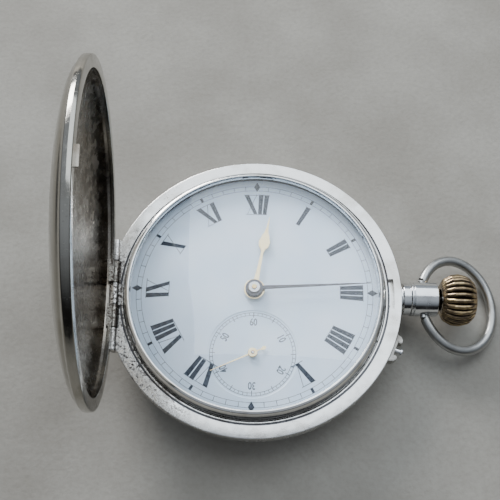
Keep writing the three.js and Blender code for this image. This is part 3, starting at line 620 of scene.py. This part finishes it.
def bezel():
    """The ring that holds the glass, rounded towards its top edge."""
    top = BEZEL_TOP
    ring = turned("bezel_ring", [
        (21.6, 7.62), (22.04, 7.62), (22.06, 8.5, 0.1), (22.0, 9.0, 0.2), (21.92, top - 0.75, 0.35),
        (21.55, top - 0.18, 0.25), (21.2, top - 0.02, 0.14), (20.98, top - 0.06, 0.08),
        (20.95, top - 0.8, 0.04), (21.45, top - 0.9, 0.05), (21.5, top - 1.3, 0.1)], FINE * 2, closed=True)
    place(ring, bezel_silver, "case", "silver", "bezel")


def crystal():
    """A domed glass of even thickness, its edge in the bezel's groove."""
    edge_r = 20.9
    edge_z = BEZEL_TOP - 0.35
    wall = 0.8
    rise = CRYSTAL_TOP - edge_z
    radius = (edge_r ** 2 + rise ** 2) / (2 * rise)
    centre_z = CRYSTAL_TOP - radius

    def arc(sphere_r, reach, steps=24):
        """Points on a sphere from the axis out to the reach."""
        points = []
        for i in range(steps + 1):
            r = reach * i / steps
            points.append((r, centre_z + math.sqrt(sphere_r ** 2 - r ** 2)))
        return points

    inner = arc(radius - wall, edge_r - 0.15)
    profile = arc(radius, edge_r) + inner[::-1]
    place(turned("domed_glass", profile, FINE, degrees=50), glass, "case", "glass", "crystal")


def cover_dome(radius, foot, top, steps=24):
    """Points of a cover's dome, from its middle at the top out to its foot."""
    flatness = 1.15
    points = []
    for i in range(steps + 1):
        angle = math.pi / 2 * i / steps
        points.append((radius * math.sin(angle), foot + (top - foot) * math.cos(angle) ** flatness))
    return points


def front_cover():
    """Made shut and square, then turned open about its hinge and round to where the hinge sits."""
    rim = FRONT_HINGE.z + 0.15
    top = 13.18
    wall = 0.62
    outer_rim = [(23.08, rim, 0.1), (24.95, rim, 0.22), (25.04, rim + 0.55, 0.5),
                 (24.95, rim + 1.2, 0.35), (24.5, rim + 1.42, 0.12), (24.35, rim + 1.5, 0.1)]
    inner_rim = [(23.8, rim + 0.62, 0.2), (23.1, rim + 0.55, 0.15)]
    outside = cover_dome(24.25, rim + 1.5, top)[:-1]
    inside = cover_dome(23.75, rim + 1.1, top - wall)[:-1]
    profile = inside + inner_rim + outer_rim + outside[::-1]
    shell = turned("cover_shell", profile, FINE * 2)
    cut_out(shell, [block("cover_notch", (NOTCH_X, -10.4, 7), (-22.85, 10.4, 9.05))])
    ears = knuckles("cover_ear", FRONT_HINGE, FRONT_KNUCKLE_R, FRONT_COVER_SPANS)
    ties = webs(FRONT_COVER_SPANS, (-24.15, -22.6), (8.4, 9.2))
    lip = slab("catch_lip", rim_arc(23.16, 23.45, 3.6), 7.8, 8.6, 0.05)
    round_case([lip], -FRONT_HINGE_TURN)
    whole = join("front_cover_shell", [shell, *ears, *ties, lip])
    mark_sharp(whole.data)
    inner_faces = [is_inside_cover(face, rim) for face in whole.data.polygons]
    whole.data.transform(about(FRONT_HINGE, "Y", -LID_ANGLE))
    round_case([whole], FRONT_HINGE_TURN)
    place(whole, lid_silver, "front_cover", "silver", "front_cover")
    whole.data.materials.append(lid_inside)
    whole.data.polygons.foreach_set("material_index", [int(inner) for inner in inner_faces])


def is_inside_cover(face, rim):
    """True for a face of the shut cover's hollow or of its catch lip."""
    in_hollow = face.normal.z < -0.15 and face.center.z > (rim + 0.5) * MM
    on_lip = face.center.z < (rim - 0.02) * MM and face.center.x > 20 * MM
    return in_hollow or on_lip


def rear_cover():
    """The back: a flat in its middle and a quarter ellipse out to its rim."""
    flat_r, rim_r, wall = 12, 24.5, 0.5
    outer = [(0, 0)] + quarter(flat_r, rim_r, 0, 4.1) + [(rim_r, 4.55, 0.1)]
    inner = [(23.95, 4.58, 0.1)] + quarter(flat_r, 23.9, wall, 4.2)[::-1] + [(0, wall)]
    shell = turned("rear_shell", outer + inner, FINE)
    cut_out(shell, [block("rear_cut", (-26, -7.3, 3.9), (-23.2, 7.3, 6))])
    ears = knuckles("rear_cover_ear", REAR_HINGE, REAR_KNUCKLE_R, REAR_COVER_SPANS)
    ties = webs(REAR_COVER_SPANS, (-24.2, -23.5), (3.65, 4.5))
    whole = join("rear_cover_shell", [shell, *ears, *ties])
    mark_sharp(whole.data)
    place(whole, back_silver, "rear_cover", "silver", "rear_cover")


def cuvette():
    """The inner dust cover, nested in the rear cover."""
    flat_r, under, over = 15.5, 1.25, 1.6
    outer = [(0, under)] + quarter(flat_r, 22.3, under, 4.25)
    inner = [(21.98, 4.3)] + quarter(flat_r, 21.95, over, 4.2)[::-1] + [(0, over)]
    shell = turned("cuvette_shell", outer + inner, FINE)
    cut_out(shell, [block("cuvette_cut", (-24, -6.2, 3.5), (-21.25, 6.2, 6))])
    ears = knuckles("cuvette_ear", CUVETTE_HINGE, CUVETTE_KNUCKLE_R, CUVETTE_SPANS)
    ties = webs(CUVETTE_SPANS, (-22.0, -21.2), (3.35, 4.1))
    whole = join("cuvette_cover", [shell, *ears, *ties])
    mark_sharp(whole.data)
    place(whole, back_silver, "cuvette", "silver", "cuvette")


# ---- Pendant, crown, bow and pin-set button ----
def lie_along_x(obj, x0=0.0, z=STEM_Z):
    """Lays a piece that was turned about Z along X, at a height."""
    obj.data.transform(Matrix.Translation((x0 * MM, 0, z * MM)) @ Matrix.Rotation(math.pi / 2, 4, "Y"))


def pendant():
    """The neck, with a raised bead near the case and a long plain collar."""
    neck = turned("pendant_neck", [
        (1.9, 24.6), (2.3, 24.6), (2.35, 25.15, 0.05), (2.72, 25.35, 0.2), (2.7, 26.55, 0.1),
        (2.94, 26.7, 0.12), (2.94, 26.95, 0.12), (2.72, 27.05, 0.08), (2.72, 27.12, 0.08),
        (2.94, 27.2, 0.12), (2.95, 31.1, 0.25), (2.5, 31.28, 0.1), (1.92, 31.28, 0.05)], 96, closed=True)
    lie_along_x(neck)
    place(neck, bright, "case", "silver", "pendant")


CROWN_RIBS = 24
CROWN_SIDES = CROWN_RIBS * 12
GROOVE_DEPTH = 0.5
SOCKET_R = 1.85
SOCKET_DEPTH = 0.9


def ring_of(radius, x):
    """Points of a plain circle of the crown's mesh."""
    angles = [2 * math.pi * k / CROWN_SIDES for k in range(CROWN_SIDES)]
    return [(radius * math.cos(angle), radius * math.sin(angle), x) for angle in angles]


def fluted_ring(radius, x, length):
    """Points of a ring of the crown, and how sunk each is between the ribs, from 0 to 1."""
    # The grooves fade out towards both ends of the crown.
    inner_fade = min(1.0, max(0.0, (x - 0.25) / 0.5))
    outer_fade = min(1.0, max(0.0, (length - 0.35 - x) / 1.3))
    points = []
    sunk = []
    for k in range(CROWN_SIDES):
        angle = 2 * math.pi * k / CROWN_SIDES
        rib = abs(math.sin(CROWN_RIBS * angle / 2)) ** 0.75
        sunk.append((1 - rib) * inner_fade * outer_fade)
        r = radius - GROOVE_DEPTH * sunk[-1] * min(1, radius / 3)
        points.append((r * math.cos(angle), r * math.sin(angle), x))
    return points, sunk


def crown():
    """An onion crown: a turned body fluted by round ribs, with a socket for the stem."""
    low, high = node_box("crown")
    length = high.x - low.x - 0.02
    outline = fillet([
        (1.9, 0.0, 0.1), (2.7, 0.0, 0.15), (3.6, 0.5, 0.4), (4.3, 1.7, 1.2), (4.48, 3.1, 1.6),
        (4.1, 4.6, 1.5), (3.1, 5.6, 0.9), (1.6, length - 0.05, 0.6), (0, length)], steps=8)
    vertices = []
    grooves = []
    for r, x in outline[:-1]:
        points, sunk = fluted_ring(r, x, length)
        vertices += points
        grooves += sunk
    tip = len(vertices)
    vertices.append((0, 0, length))
    grooves.append(0.0)
    socket = len(vertices)
    vertices += ring_of(SOCKET_R, 0.0) + ring_of(SOCKET_R, SOCKET_DEPTH)
    grooves += [0.6] * (2 * CROWN_SIDES)
    floor_middle = len(vertices)
    vertices.append((0, 0, SOCKET_DEPTH))
    grooves.append(1.0)
    faces = []
    for ring in range(0, tip - CROWN_SIDES, CROWN_SIDES):
        faces += strip(ring, ring + CROWN_SIDES)
    for k in range(CROWN_SIDES):
        n = (k + 1) % CROWN_SIDES
        faces.append((tip - CROWN_SIDES + k, tip - CROWN_SIDES + n, tip))
        faces.append((socket + CROWN_SIDES + n, socket + CROWN_SIDES + k, floor_middle))
    faces += strip(socket, 0)
    faces += strip(socket + CROWN_SIDES, socket)
    made = new_object("onion_crown", vertices, faces, 60)
    stored = made.data.attributes.new("groove", "FLOAT", "POINT")
    stored.data.foreach_set("value", grooves)
    lie_along_x(made, low.x)
    place(made, gilt, "crown", "gilt", "crown")


def strip(first, second):
    """Faces between two rings of the crown, given the number of each one's first vertex."""
    faces = []
    for k in range(CROWN_SIDES):
        n = (k + 1) % CROWN_SIDES
        faces.append((first + k, first + n, second + n, second + k))
    return faces


def swept(name, path, radii, sides=28):
    """A round wire through points in the plane of X and Y, with a radius at each point."""
    vertices = []
    faces = []
    count = len(path)
    for i, point in enumerate(path):
        ahead = Vector(path[min(i + 1, count - 1)]) - Vector(path[max(i - 1, 0)])
        side = Vector((ahead.y, -ahead.x, 0)).normalized()
        for k in range(sides):
            angle = 2 * math.pi * k / sides
            offset = side * math.cos(angle) * radii[i] + Vector((0, 0, math.sin(angle) * radii[i]))
            vertices.append(Vector(point) + offset)
    for i in range(count - 1):
        for k in range(sides):
            n = (k + 1) % sides
            faces.append((i * sides + k, i * sides + n, (i + 1) * sides + n, (i + 1) * sides + k))
    faces.append(tuple(range(sides)))
    faces.append(tuple(reversed(range((count - 1) * sides, count * sides))))
    return new_object(name, vertices, faces, 50)


def relaxed(path, rounds):
    """The path with its bends eased and its two ends kept."""
    for _ in range(rounds):
        middle = [(path[i - 1] + path[i] * 2 + path[i + 1]) / 4 for i in range(1, len(path) - 1)]
        path = [path[0], *middle, path[-1]]
    return path


def bow():
    """The oval wire bow, made level and then dropped to where it lies."""
    centre, along, across = 6.8, 7.1, 8.3
    wire = 0.87
    opening = math.acos(-0.93)  # where the oval ends, on each side of the pendant
    steps = 120
    oval = []
    for i in range(steps + 1):
        angle = opening * (1 - 2 * i / steps)
        oval.append(Vector((centre + along * math.cos(angle), across * math.sin(angle), 0)))
    foot = Vector((0.05, 3.25, 0))
    lead = [foot.lerp(oval[0], t) for t in (0, 0.35, 0.7)]
    tail = [Vector((p.x, -p.y, 0)) for p in reversed(lead)]
    path = relaxed(lead + oval + tail, 10)
    last = len(path) - 1
    radii = [wire * (0.92 + 0.08 * min(1, min(i, last - i) / 10)) for i in range(last + 1)]
    loop = swept("bow_wire", path, radii)
    pins = [rod("bow_pin", 0.5, (0, side * 2.2, 0), (0, side * 3.4, 0), 24) for side in (1, -1)]
    whole = join("bow_loop", [loop, *pins])
    mark_sharp(whole.data, 50)
    whole.data.transform(Matrix.Translation(BOW_PIN * MM) @ Matrix.Rotation(BOW_DROOP, 4, "Y"))
    place(whole, satin, "bow", "satin_silver", "bow")


def set_pin_and_guard():
    """The pin-set button between the two cheeks of its guard."""
    outline = [(24.9, 1.15), (25.8, 1.15), (26.0, 1.3), (26.0, 1.75), (25.6, 2.2), (24.9, 2.4)]
    cheeks = []
    for side in (-1, 1):
        mirrored = [(x, side * y) for x, y in outline][::side]
        cheeks.append(slab("cheek", mirrored, BUTTON_Z - 1.05, BUTTON_Z + 1.05, 0.12))
    base = block("guard_base", (24.9, -1.3, BUTTON_Z - 1.0), (25.35, 1.3, BUTTON_Z + 1.0))
    guard = join("button_guard", [*cheeks, base])
    round_case([guard], BUTTON_ANGLE)
    mark_sharp(guard.data)
    place(guard, guard_silver, "case", "silver", "set_pin_guard")
    pin = turned("button", [(0, 22.5), (0.42, 22.5), (0.42, 26.2, 0.02), (0.62, 26.22, 0.05),
                            (0.62, 26.6, 0.2), (0, 26.84)], 32)
    lie_along_x(pin, z=BUTTON_Z)
    round_case([pin], BUTTON_ANGLE)
    place(pin, bright, "set_pin", "silver", "set_pin")


# ---- Dial ----
def dial():
    """The enamel disc, sunk for the seconds dial and bored for the hands' arbors."""
    under = 7.42
    face = turned("dial_disc", [(0, under), (21.3, under), (21.3, DIAL_TOP - 0.05, 0.08),
                                (20.9, DIAL_TOP, 0.5), (0, DIAL_TOP)], FINE)
    sunk = turned("sunk_tool", [(0, DIAL_TOP - 0.1), (7.35, DIAL_TOP - 0.1, 0.12),
                                (7.55, DIAL_TOP + 0.02, 0.1), (7.55, DIAL_TOP + 1), (0, DIAL_TOP + 1)], 128)
    centre_hole = rod("hole", 1.3, (0, 0, 7), (0, 0, 9))
    seconds_hole = rod("hole", 0.45, (*SECONDS, 7), (*SECONDS, 9))
    cut_out(face, [to_centre(sunk, SECONDS), centre_hole, seconds_hole])
    place(face, enamel, "case", "enamel", "dial")


PRINT_Z = DIAL_TOP + 0.012
SUNK_PRINT_Z = PRINT_Z - 0.1
BOLD_LIFT = 0.004  # keeps the bold marks clear of the tracks that they cross
INK_DEPTH = 0.05
NUMERALS = {1: "I", 2: "II", 3: "III", 4: "IIII", 5: "V", 7: "VII", 8: "VIII", 9: "IX", 10: "X", 11: "XI",
            12: "XII"}
NUMERAL_WIDTHS = {"I": 0.92, "V": 2.3, "X": 2.3}
NUMERAL_R = (14.55, 18.4)
STROKE = 0.74
HAIR = 0.1


def polar(outline, hour_angle, middle=16.5):
    """Puts (sideways, outward) points on the dial at a clock angle, narrower towards the centre."""
    placed = []
    for u, r in outline:
        clock = hour_angle + u / middle
        placed.append((r * math.sin(clock), r * math.cos(clock)))
    return placed


def leaning(u0, u1, width, low, high):
    """A stroke from u0 at the inner end to u1 at the outer end."""
    return [(u0 - width / 2, low), (u0 + width / 2, low), (u1 + width / 2, high), (u1 - width / 2, high)]


def numeral_strokes(text):
    """Pairs of (thick, outline) for a Roman numeral that stands with its foot to the centre."""
    low, high = NUMERAL_R
    total = sum(NUMERAL_WIDTHS[c] for c in text)
    strokes = []
    cursor = -total / 2
    for c in text:
        half = NUMERAL_WIDTHS[c] / 2
        middle = cursor + half
        if c == "I":
            strokes.append((True, leaning(middle, middle, STROKE, low, high)))
        elif c == "V":
            strokes.append((True, leaning(middle, middle - half + 0.42, STROKE, low, high)))
            strokes.append((False, leaning(middle + 0.1, middle + half - 0.25, HAIR, low, high)))
        else:
            strokes.append((True, leaning(middle + half - 0.42, middle - half + 0.42, STROKE, low, high)))
            strokes.append((False, leaning(middle - half + 0.25, middle + half - 0.25, HAIR, low, high)))
        cursor += NUMERAL_WIDTHS[c]
    for edge in (low, high):
        strokes.append((False, [(-total / 2, edge - HAIR / 2), (total / 2, edge - HAIR / 2),
                                (total / 2, edge + HAIR / 2), (-total / 2, edge + HAIR / 2)]))
    return strokes


def annulus(name, inner, outer, z, centre=(0, 0), sides=FINE):
    """A flat ring whose top is at z."""
    section = [(inner, z - INK_DEPTH), (outer, z - INK_DEPTH), (outer, z), (inner, z)]
    return to_centre(turned(name, section, sides, closed=True), centre)


def mark(name, outline, z):
    """A printed mark whose top is at z."""
    return slab(name, outline, z - INK_DEPTH, z)


def tick(angle, inner, outer, width, z, centre=(0, 0)):
    """A straight mark along the radius at a clock angle."""
    out = Vector((math.sin(angle), math.cos(angle)))
    side = Vector((out.y, -out.x)) * width / 2
    foot = Vector(centre) + out * inner
    tip = Vector(centre) + out * outer
    return mark("tick", [tuple(c) for c in (foot - side, foot + side, tip + side, tip - side)], z)


def dial_print():
    """The numerals and both tracks, in a bold piece and a light piece."""
    bold = []
    light = []
    for hour, text in NUMERALS.items():
        for thick, outline in numeral_strokes(text):
            stroke = mark("stroke", polar(outline, math.radians(30 * hour)), PRINT_Z)
            (bold if thick else light).append(stroke)
    minute_print(bold, light)
    seconds_print(light)
    place(join("dial_numerals", bold), ink, "case", "enamel")
    place(join("dial_tracks", light), fine_ink, "case", "enamel")


def minute_print(bold, light):
    """The minute track: two fine circles, with a diamond at each quarter and a bar at each hour."""
    inner, outer = 19.15, 20.0
    light.append(annulus("track", 19.12, 19.19, PRINT_Z))
    light.append(annulus("track", 19.96, 20.03, PRINT_Z))
    diamond = [(-0.55, 19.9), (0, 18.95), (0.55, 19.9), (0, 20.85)]
    for minute in range(60):
        angle = math.radians(6 * minute)
        if minute % 15 == 0:
            bold.append(mark("diamond", polar(diamond, angle, outer), PRINT_Z + BOLD_LIFT))
        elif minute % 5 == 0:
            bold.append(tick(angle, inner, outer, 0.46, PRINT_Z + BOLD_LIFT))
        else:
            light.append(tick(angle, inner, outer, 0.09, PRINT_Z))


def seconds_print(light):
    """The seconds track, with a longer mark each five seconds and a figure each ten."""
    light.append(annulus("track", 6.55, 6.62, SUNK_PRINT_Z, SECONDS, 128))
    light.append(annulus("track", 7.03, 7.11, SUNK_PRINT_Z, SECONDS, 128))
    for second in range(60):
        inner, width = (6.2, 0.12) if second % 5 == 0 else (6.58, 0.08)
        light.append(tick(math.radians(6 * second), inner, 7.07, width, SUNK_PRINT_Z, SECONDS))
    for second in range(10, 61, 10):
        light.append(small_number(str(second), math.radians(6 * second), 5.35))


def small_number(text, angle, radius):
    """A small figure of the seconds dial, set with its foot to the centre."""
    curve = bpy.data.curves.new("number", "FONT")
    curve.body = text
    curve.size = 1.75 * MM
    curve.offset = 0.03 * MM
    curve.align_x = "CENTER"
    curve.align_y = "CENTER"
    curve.extrude = INK_DEPTH * MM / 2
    holder = linked("number", curve)
    mesh = evaluated_mesh(holder)
    bpy.data.objects.remove(holder)
    x = SECONDS[0] + radius * math.sin(angle)
    y = SECONDS[1] + radius * math.cos(angle)
    spot = Vector((x, y, SUNK_PRINT_Z - INK_DEPTH / 2)) * MM
    narrow = Matrix.Diagonal((0.72, 1, 1, 1))
    mesh.transform(Matrix.Translation(spot) @ Matrix.Rotation(-angle, 4, "Z") @ narrow)
    return linked("number", mesh)


# ---- Hands ----
def smooth_half_widths(stations, steps=8):
    """Finely stepped (distance, half width) pairs through the given stations."""
    fine = []
    for (s0, w0), (s1, w1) in zip(stations, stations[1:]):
        for i in range(steps):
            t = i / steps
            ease = t * t * (3 - 2 * t)
            fine.append((s0 + (s1 - s0) * t, w0 + (w1 - w0) * ease))
    fine.append(stations[-1])
    return fine


# Where the hands point, in degrees clockwise from 12.
HOUR_ANGLE = 9.8
MINUTE_ANGLE = 86.1
SECOND_ANGLE = 245


def hand(name, stations, z0, z1, clock, centre=(0, 0), bevel=0.05):
    """A flat hand from (distance, half width) stations, turned to a clock angle in degrees."""
    fine = smooth_half_widths(stations)
    outline = [(w, s) for s, w in fine] + [(-w, s) for s, w in reversed(fine)]
    made = slab(name, outline, z0, z1, bevel)
    made.data.transform(Matrix.Rotation(-math.radians(clock), 4, "Z"))
    return to_centre(made, centre)


def boss(name, outer, inner, z0, z1, centre=(0, 0), edge=0.08):
    """The ring in the middle of a hand."""
    section = [(inner, z0), (outer, z0, edge), (outer, z1, edge), (inner, z1, edge / 2)]
    return to_centre(turned(name, section, SMALL, closed=True), centre)


def hour_hand():
    """The gilt spade hand."""
    under = 8.5
    spade = [(1.5, 0.42), (4.5, 0.27), (6.9, 0.2), (7.25, 0.3), (8.1, 0.85), (8.9, 0.97), (9.9, 0.68),
             (10.9, 0.3), (12, 0.14), (13.7, 0.05)]
    blade = hand("hour_blade", spade, under, 8.75, HOUR_ANGLE)
    whole = join("hour_hand_spade", [blade, boss("hour_boss", 1.8, 1.22, under, 8.76)])
    place(whole, gold, "hour", "gilt", "hour_hand")


def minute_hand():
    """The slim steel hand."""
    under = 9.15
    needle = [(1.05, 0.34), (7, 0.24), (14, 0.15), (19.6, 0.05)]
    blade = hand("minute_blade", needle, under, 9.35, MINUTE_ANGLE)
    whole = join("minute_hand_blade", [blade, boss("minute_boss", 1.5, 1.0, under, 9.38)])
    place(whole, dark_steel, "minute", "blued_steel", "minute_hand")


def seconds_hand():
    """The small gilt hand with its round tail."""
    tailed = [(-2.4, 0.02), (-2.3, 0.22), (-2.0, 0.34), (-1.7, 0.22), (-1.55, 0.08), (0, 0.12), (7.5, 0.04)]
    pointer = hand("pointer", tailed, 8.2, 8.34, SECOND_ANGLE, SECONDS, 0.02)
    ring = boss("seconds_boss", 0.8, 0.3, 8.15, 8.5, SECONDS, 0.1)
    place(join("seconds_hand_pointer", [pointer, ring]), gold, "fourth", "gilt", "seconds_hand")


def arbor_ends():
    """The cannon pinion's tube and the polished pins that show in the middle of the hands."""
    cannon = turned("cannon_tube", [(0.46, 6.95), (0.8, 6.95), (0.8, 8.27), (0.94, 8.3, 0.03),
                                    (0.94, 9.7, 0.12), (0.5, 9.74, 0.06)], SMALL, closed=True)
    place(cannon, bright, "minute", "steel")
    cap = turned("centre_pin_end", [(0, 9.3), (0.42, 9.3), (0.42, 9.85, 0.2), (0, 10.0)], 32)
    place(cap, bright, "minute", "steel")
    pip = turned("seconds_pin_end", [(0, 8.3), (0.26, 8.3), (0.26, 8.52, 0.12), (0, 8.58)], 24)
    place(to_centre(pip, SECONDS), bright, "fourth", "steel")


# ---- Movement ----
NICKEL_PARTS = ("main_plate", "barrel_bridge", "train_bridge", "pallet_cock", "balance_cock")
BRASS_PARTS = ("barrel", "barrel_cover", "centre_wheel", "third_wheel", "fourth_wheel", "balance_wheel",
               "hour_wheel", "minute_wheel")


def movement():
    """Gives every CAD solid its finish: some are replaced afterwards, and the rest show as they are."""
    for name, piece in frame["nodes"].items():
        finish = steel
        if name in NICKEL_PARTS:
            finish = nickel
        elif name in BRASS_PARTS:
            finish = brass
        elif name in ("hairspring", "balance_cock_screw") or "_screw_" in name:
            finish = blued
        elif name == "push_sleeve":
            finish = bright
        piece.data.materials.clear()
        piece.data.materials.append(finish)


def build():
    movement()
    rim_groove_grime()
    case_middle()
    lock_spring_nose()
    hinge_pins()
    bezel()
    crystal()
    front_cover()
    rear_cover()
    cuvette()
    pendant()
    crown()
    bow()
    set_pin_and_guard()
    dial()
    dial_print()
    hour_hand()
    minute_hand()
    seconds_hand()
    arbor_ends()


build()


# ---- Floor, light and camera, in metres ----
def floor():
    """A plain pale floor with a faint mottle and grain."""
    half = 2.5
    corners = [(-half, -half, 0), (half, -half, 0), (half, half, 0), (-half, half, 0)]
    made = new_object("floor", [Vector(c) / MM for c in corners], [(0, 1, 2, 3)])
    f = Finish("pale_floor", (0.55, 0.54, 0.51), 0.85, 0.0)
    cloud = f.ramp(f.noise(22, 6), 0.3, 0.7)
    grain = f.ramp(f.noise(0.9, 5), 0.35, 0.75)
    look = f.mix(cloud, (0.3, 0.28, 0.245), (0.39, 0.37, 0.33))
    f.feed("Base Color", f.mix(f.math("MULTIPLY", grain, 0.25), look, (0.22, 0.2, 0.17)))
    f.bump(f.noise(0.8, 6), 0.08)
    made.data.materials.append(f.material)


def area_light(name, spot, aim, size, watts, color=(1, 1, 1)):
    data = bpy.data.lights.new(name, "AREA")
    data.shape = "RECTANGLE"
    data.size, data.size_y = size
    data.energy = watts
    data.color = color
    lamp = linked(name, data)
    lamp.location = spot
    lamp.rotation_euler = (Vector(aim) - Vector(spot)).to_track_quat("-Z", "Y").to_euler()


def sky():
    """A soft sky: dark low down and pale blue high up, and brighter behind 12 o'clock."""
    lean_to_back = 0.4
    dark, pale = (0.03, 0.03, 0.032, 1), (0.72, 0.79, 0.88, 1)
    world = bpy.data.worlds.new("sky")
    bpy.context.scene.world = world
    world.use_nodes = True
    tree = world.node_tree
    background = tree.nodes["Background"]
    direction = tree.nodes.new("ShaderNodeTexCoord").outputs["Generated"]
    split = tree.nodes.new("ShaderNodeSeparateXYZ")
    tree.links.new(direction, split.inputs[0])
    height = tree.nodes.new("ShaderNodeMath")
    height.operation = "MULTIPLY_ADD"
    height.inputs[1].default_value = lean_to_back
    tree.links.new(split.outputs["Y"], height.inputs[0])
    tree.links.new(split.outputs["Z"], height.inputs[2])
    ramp = tree.nodes.new("ShaderNodeValToRGB")
    for stop, position, color in zip(ramp.color_ramp.elements, (0.0, 0.75), (dark, pale)):
        stop.position = position
        stop.color = color
    tree.links.new(height.outputs[0], ramp.inputs[0])
    tree.links.new(ramp.outputs[0], background.inputs["Color"])
    background.inputs["Strength"].default_value = 0.6


def camera():
    """Close above the dial and rolled a little."""
    target = Vector((-0.96, 7.67, DIAL_TOP)) * MM
    distance = 138.4 * MM
    elevation, azimuth, roll = math.radians(65.5), math.radians(2.71), math.radians(-1.2)
    level = math.cos(elevation)
    back = Vector((math.sin(azimuth) * level, -math.cos(azimuth) * level, math.sin(elevation)))
    right = (-back).cross(Vector((0, 0, 1))).normalized()
    up = right.cross(-back)
    rolled_right = right * math.cos(roll) + up * math.sin(roll)
    rolled_up = up * math.cos(roll) - right * math.sin(roll)
    turn = Matrix((rolled_right, rolled_up, back)).transposed().to_4x4()
    data = bpy.data.cameras.new("camera")
    data.lens = 57.3
    data.sensor_width = 36
    data.clip_start = 0.005
    view = linked("camera", data)
    view.matrix_world = Matrix.Translation(target + back * distance) @ turn
    bpy.context.scene.camera = view


floor()
sky()
area_light("window", (0.17, 0.342, 0.498), (0.17, 0.075, -0.075), (0.67, 0.64), 2.9, (0.86, 0.94, 1.0))
area_light("side_window", (-0.3, 0.6, 0.3), (0, 0, 0), (0.3, 0.25), 5.5)
camera()
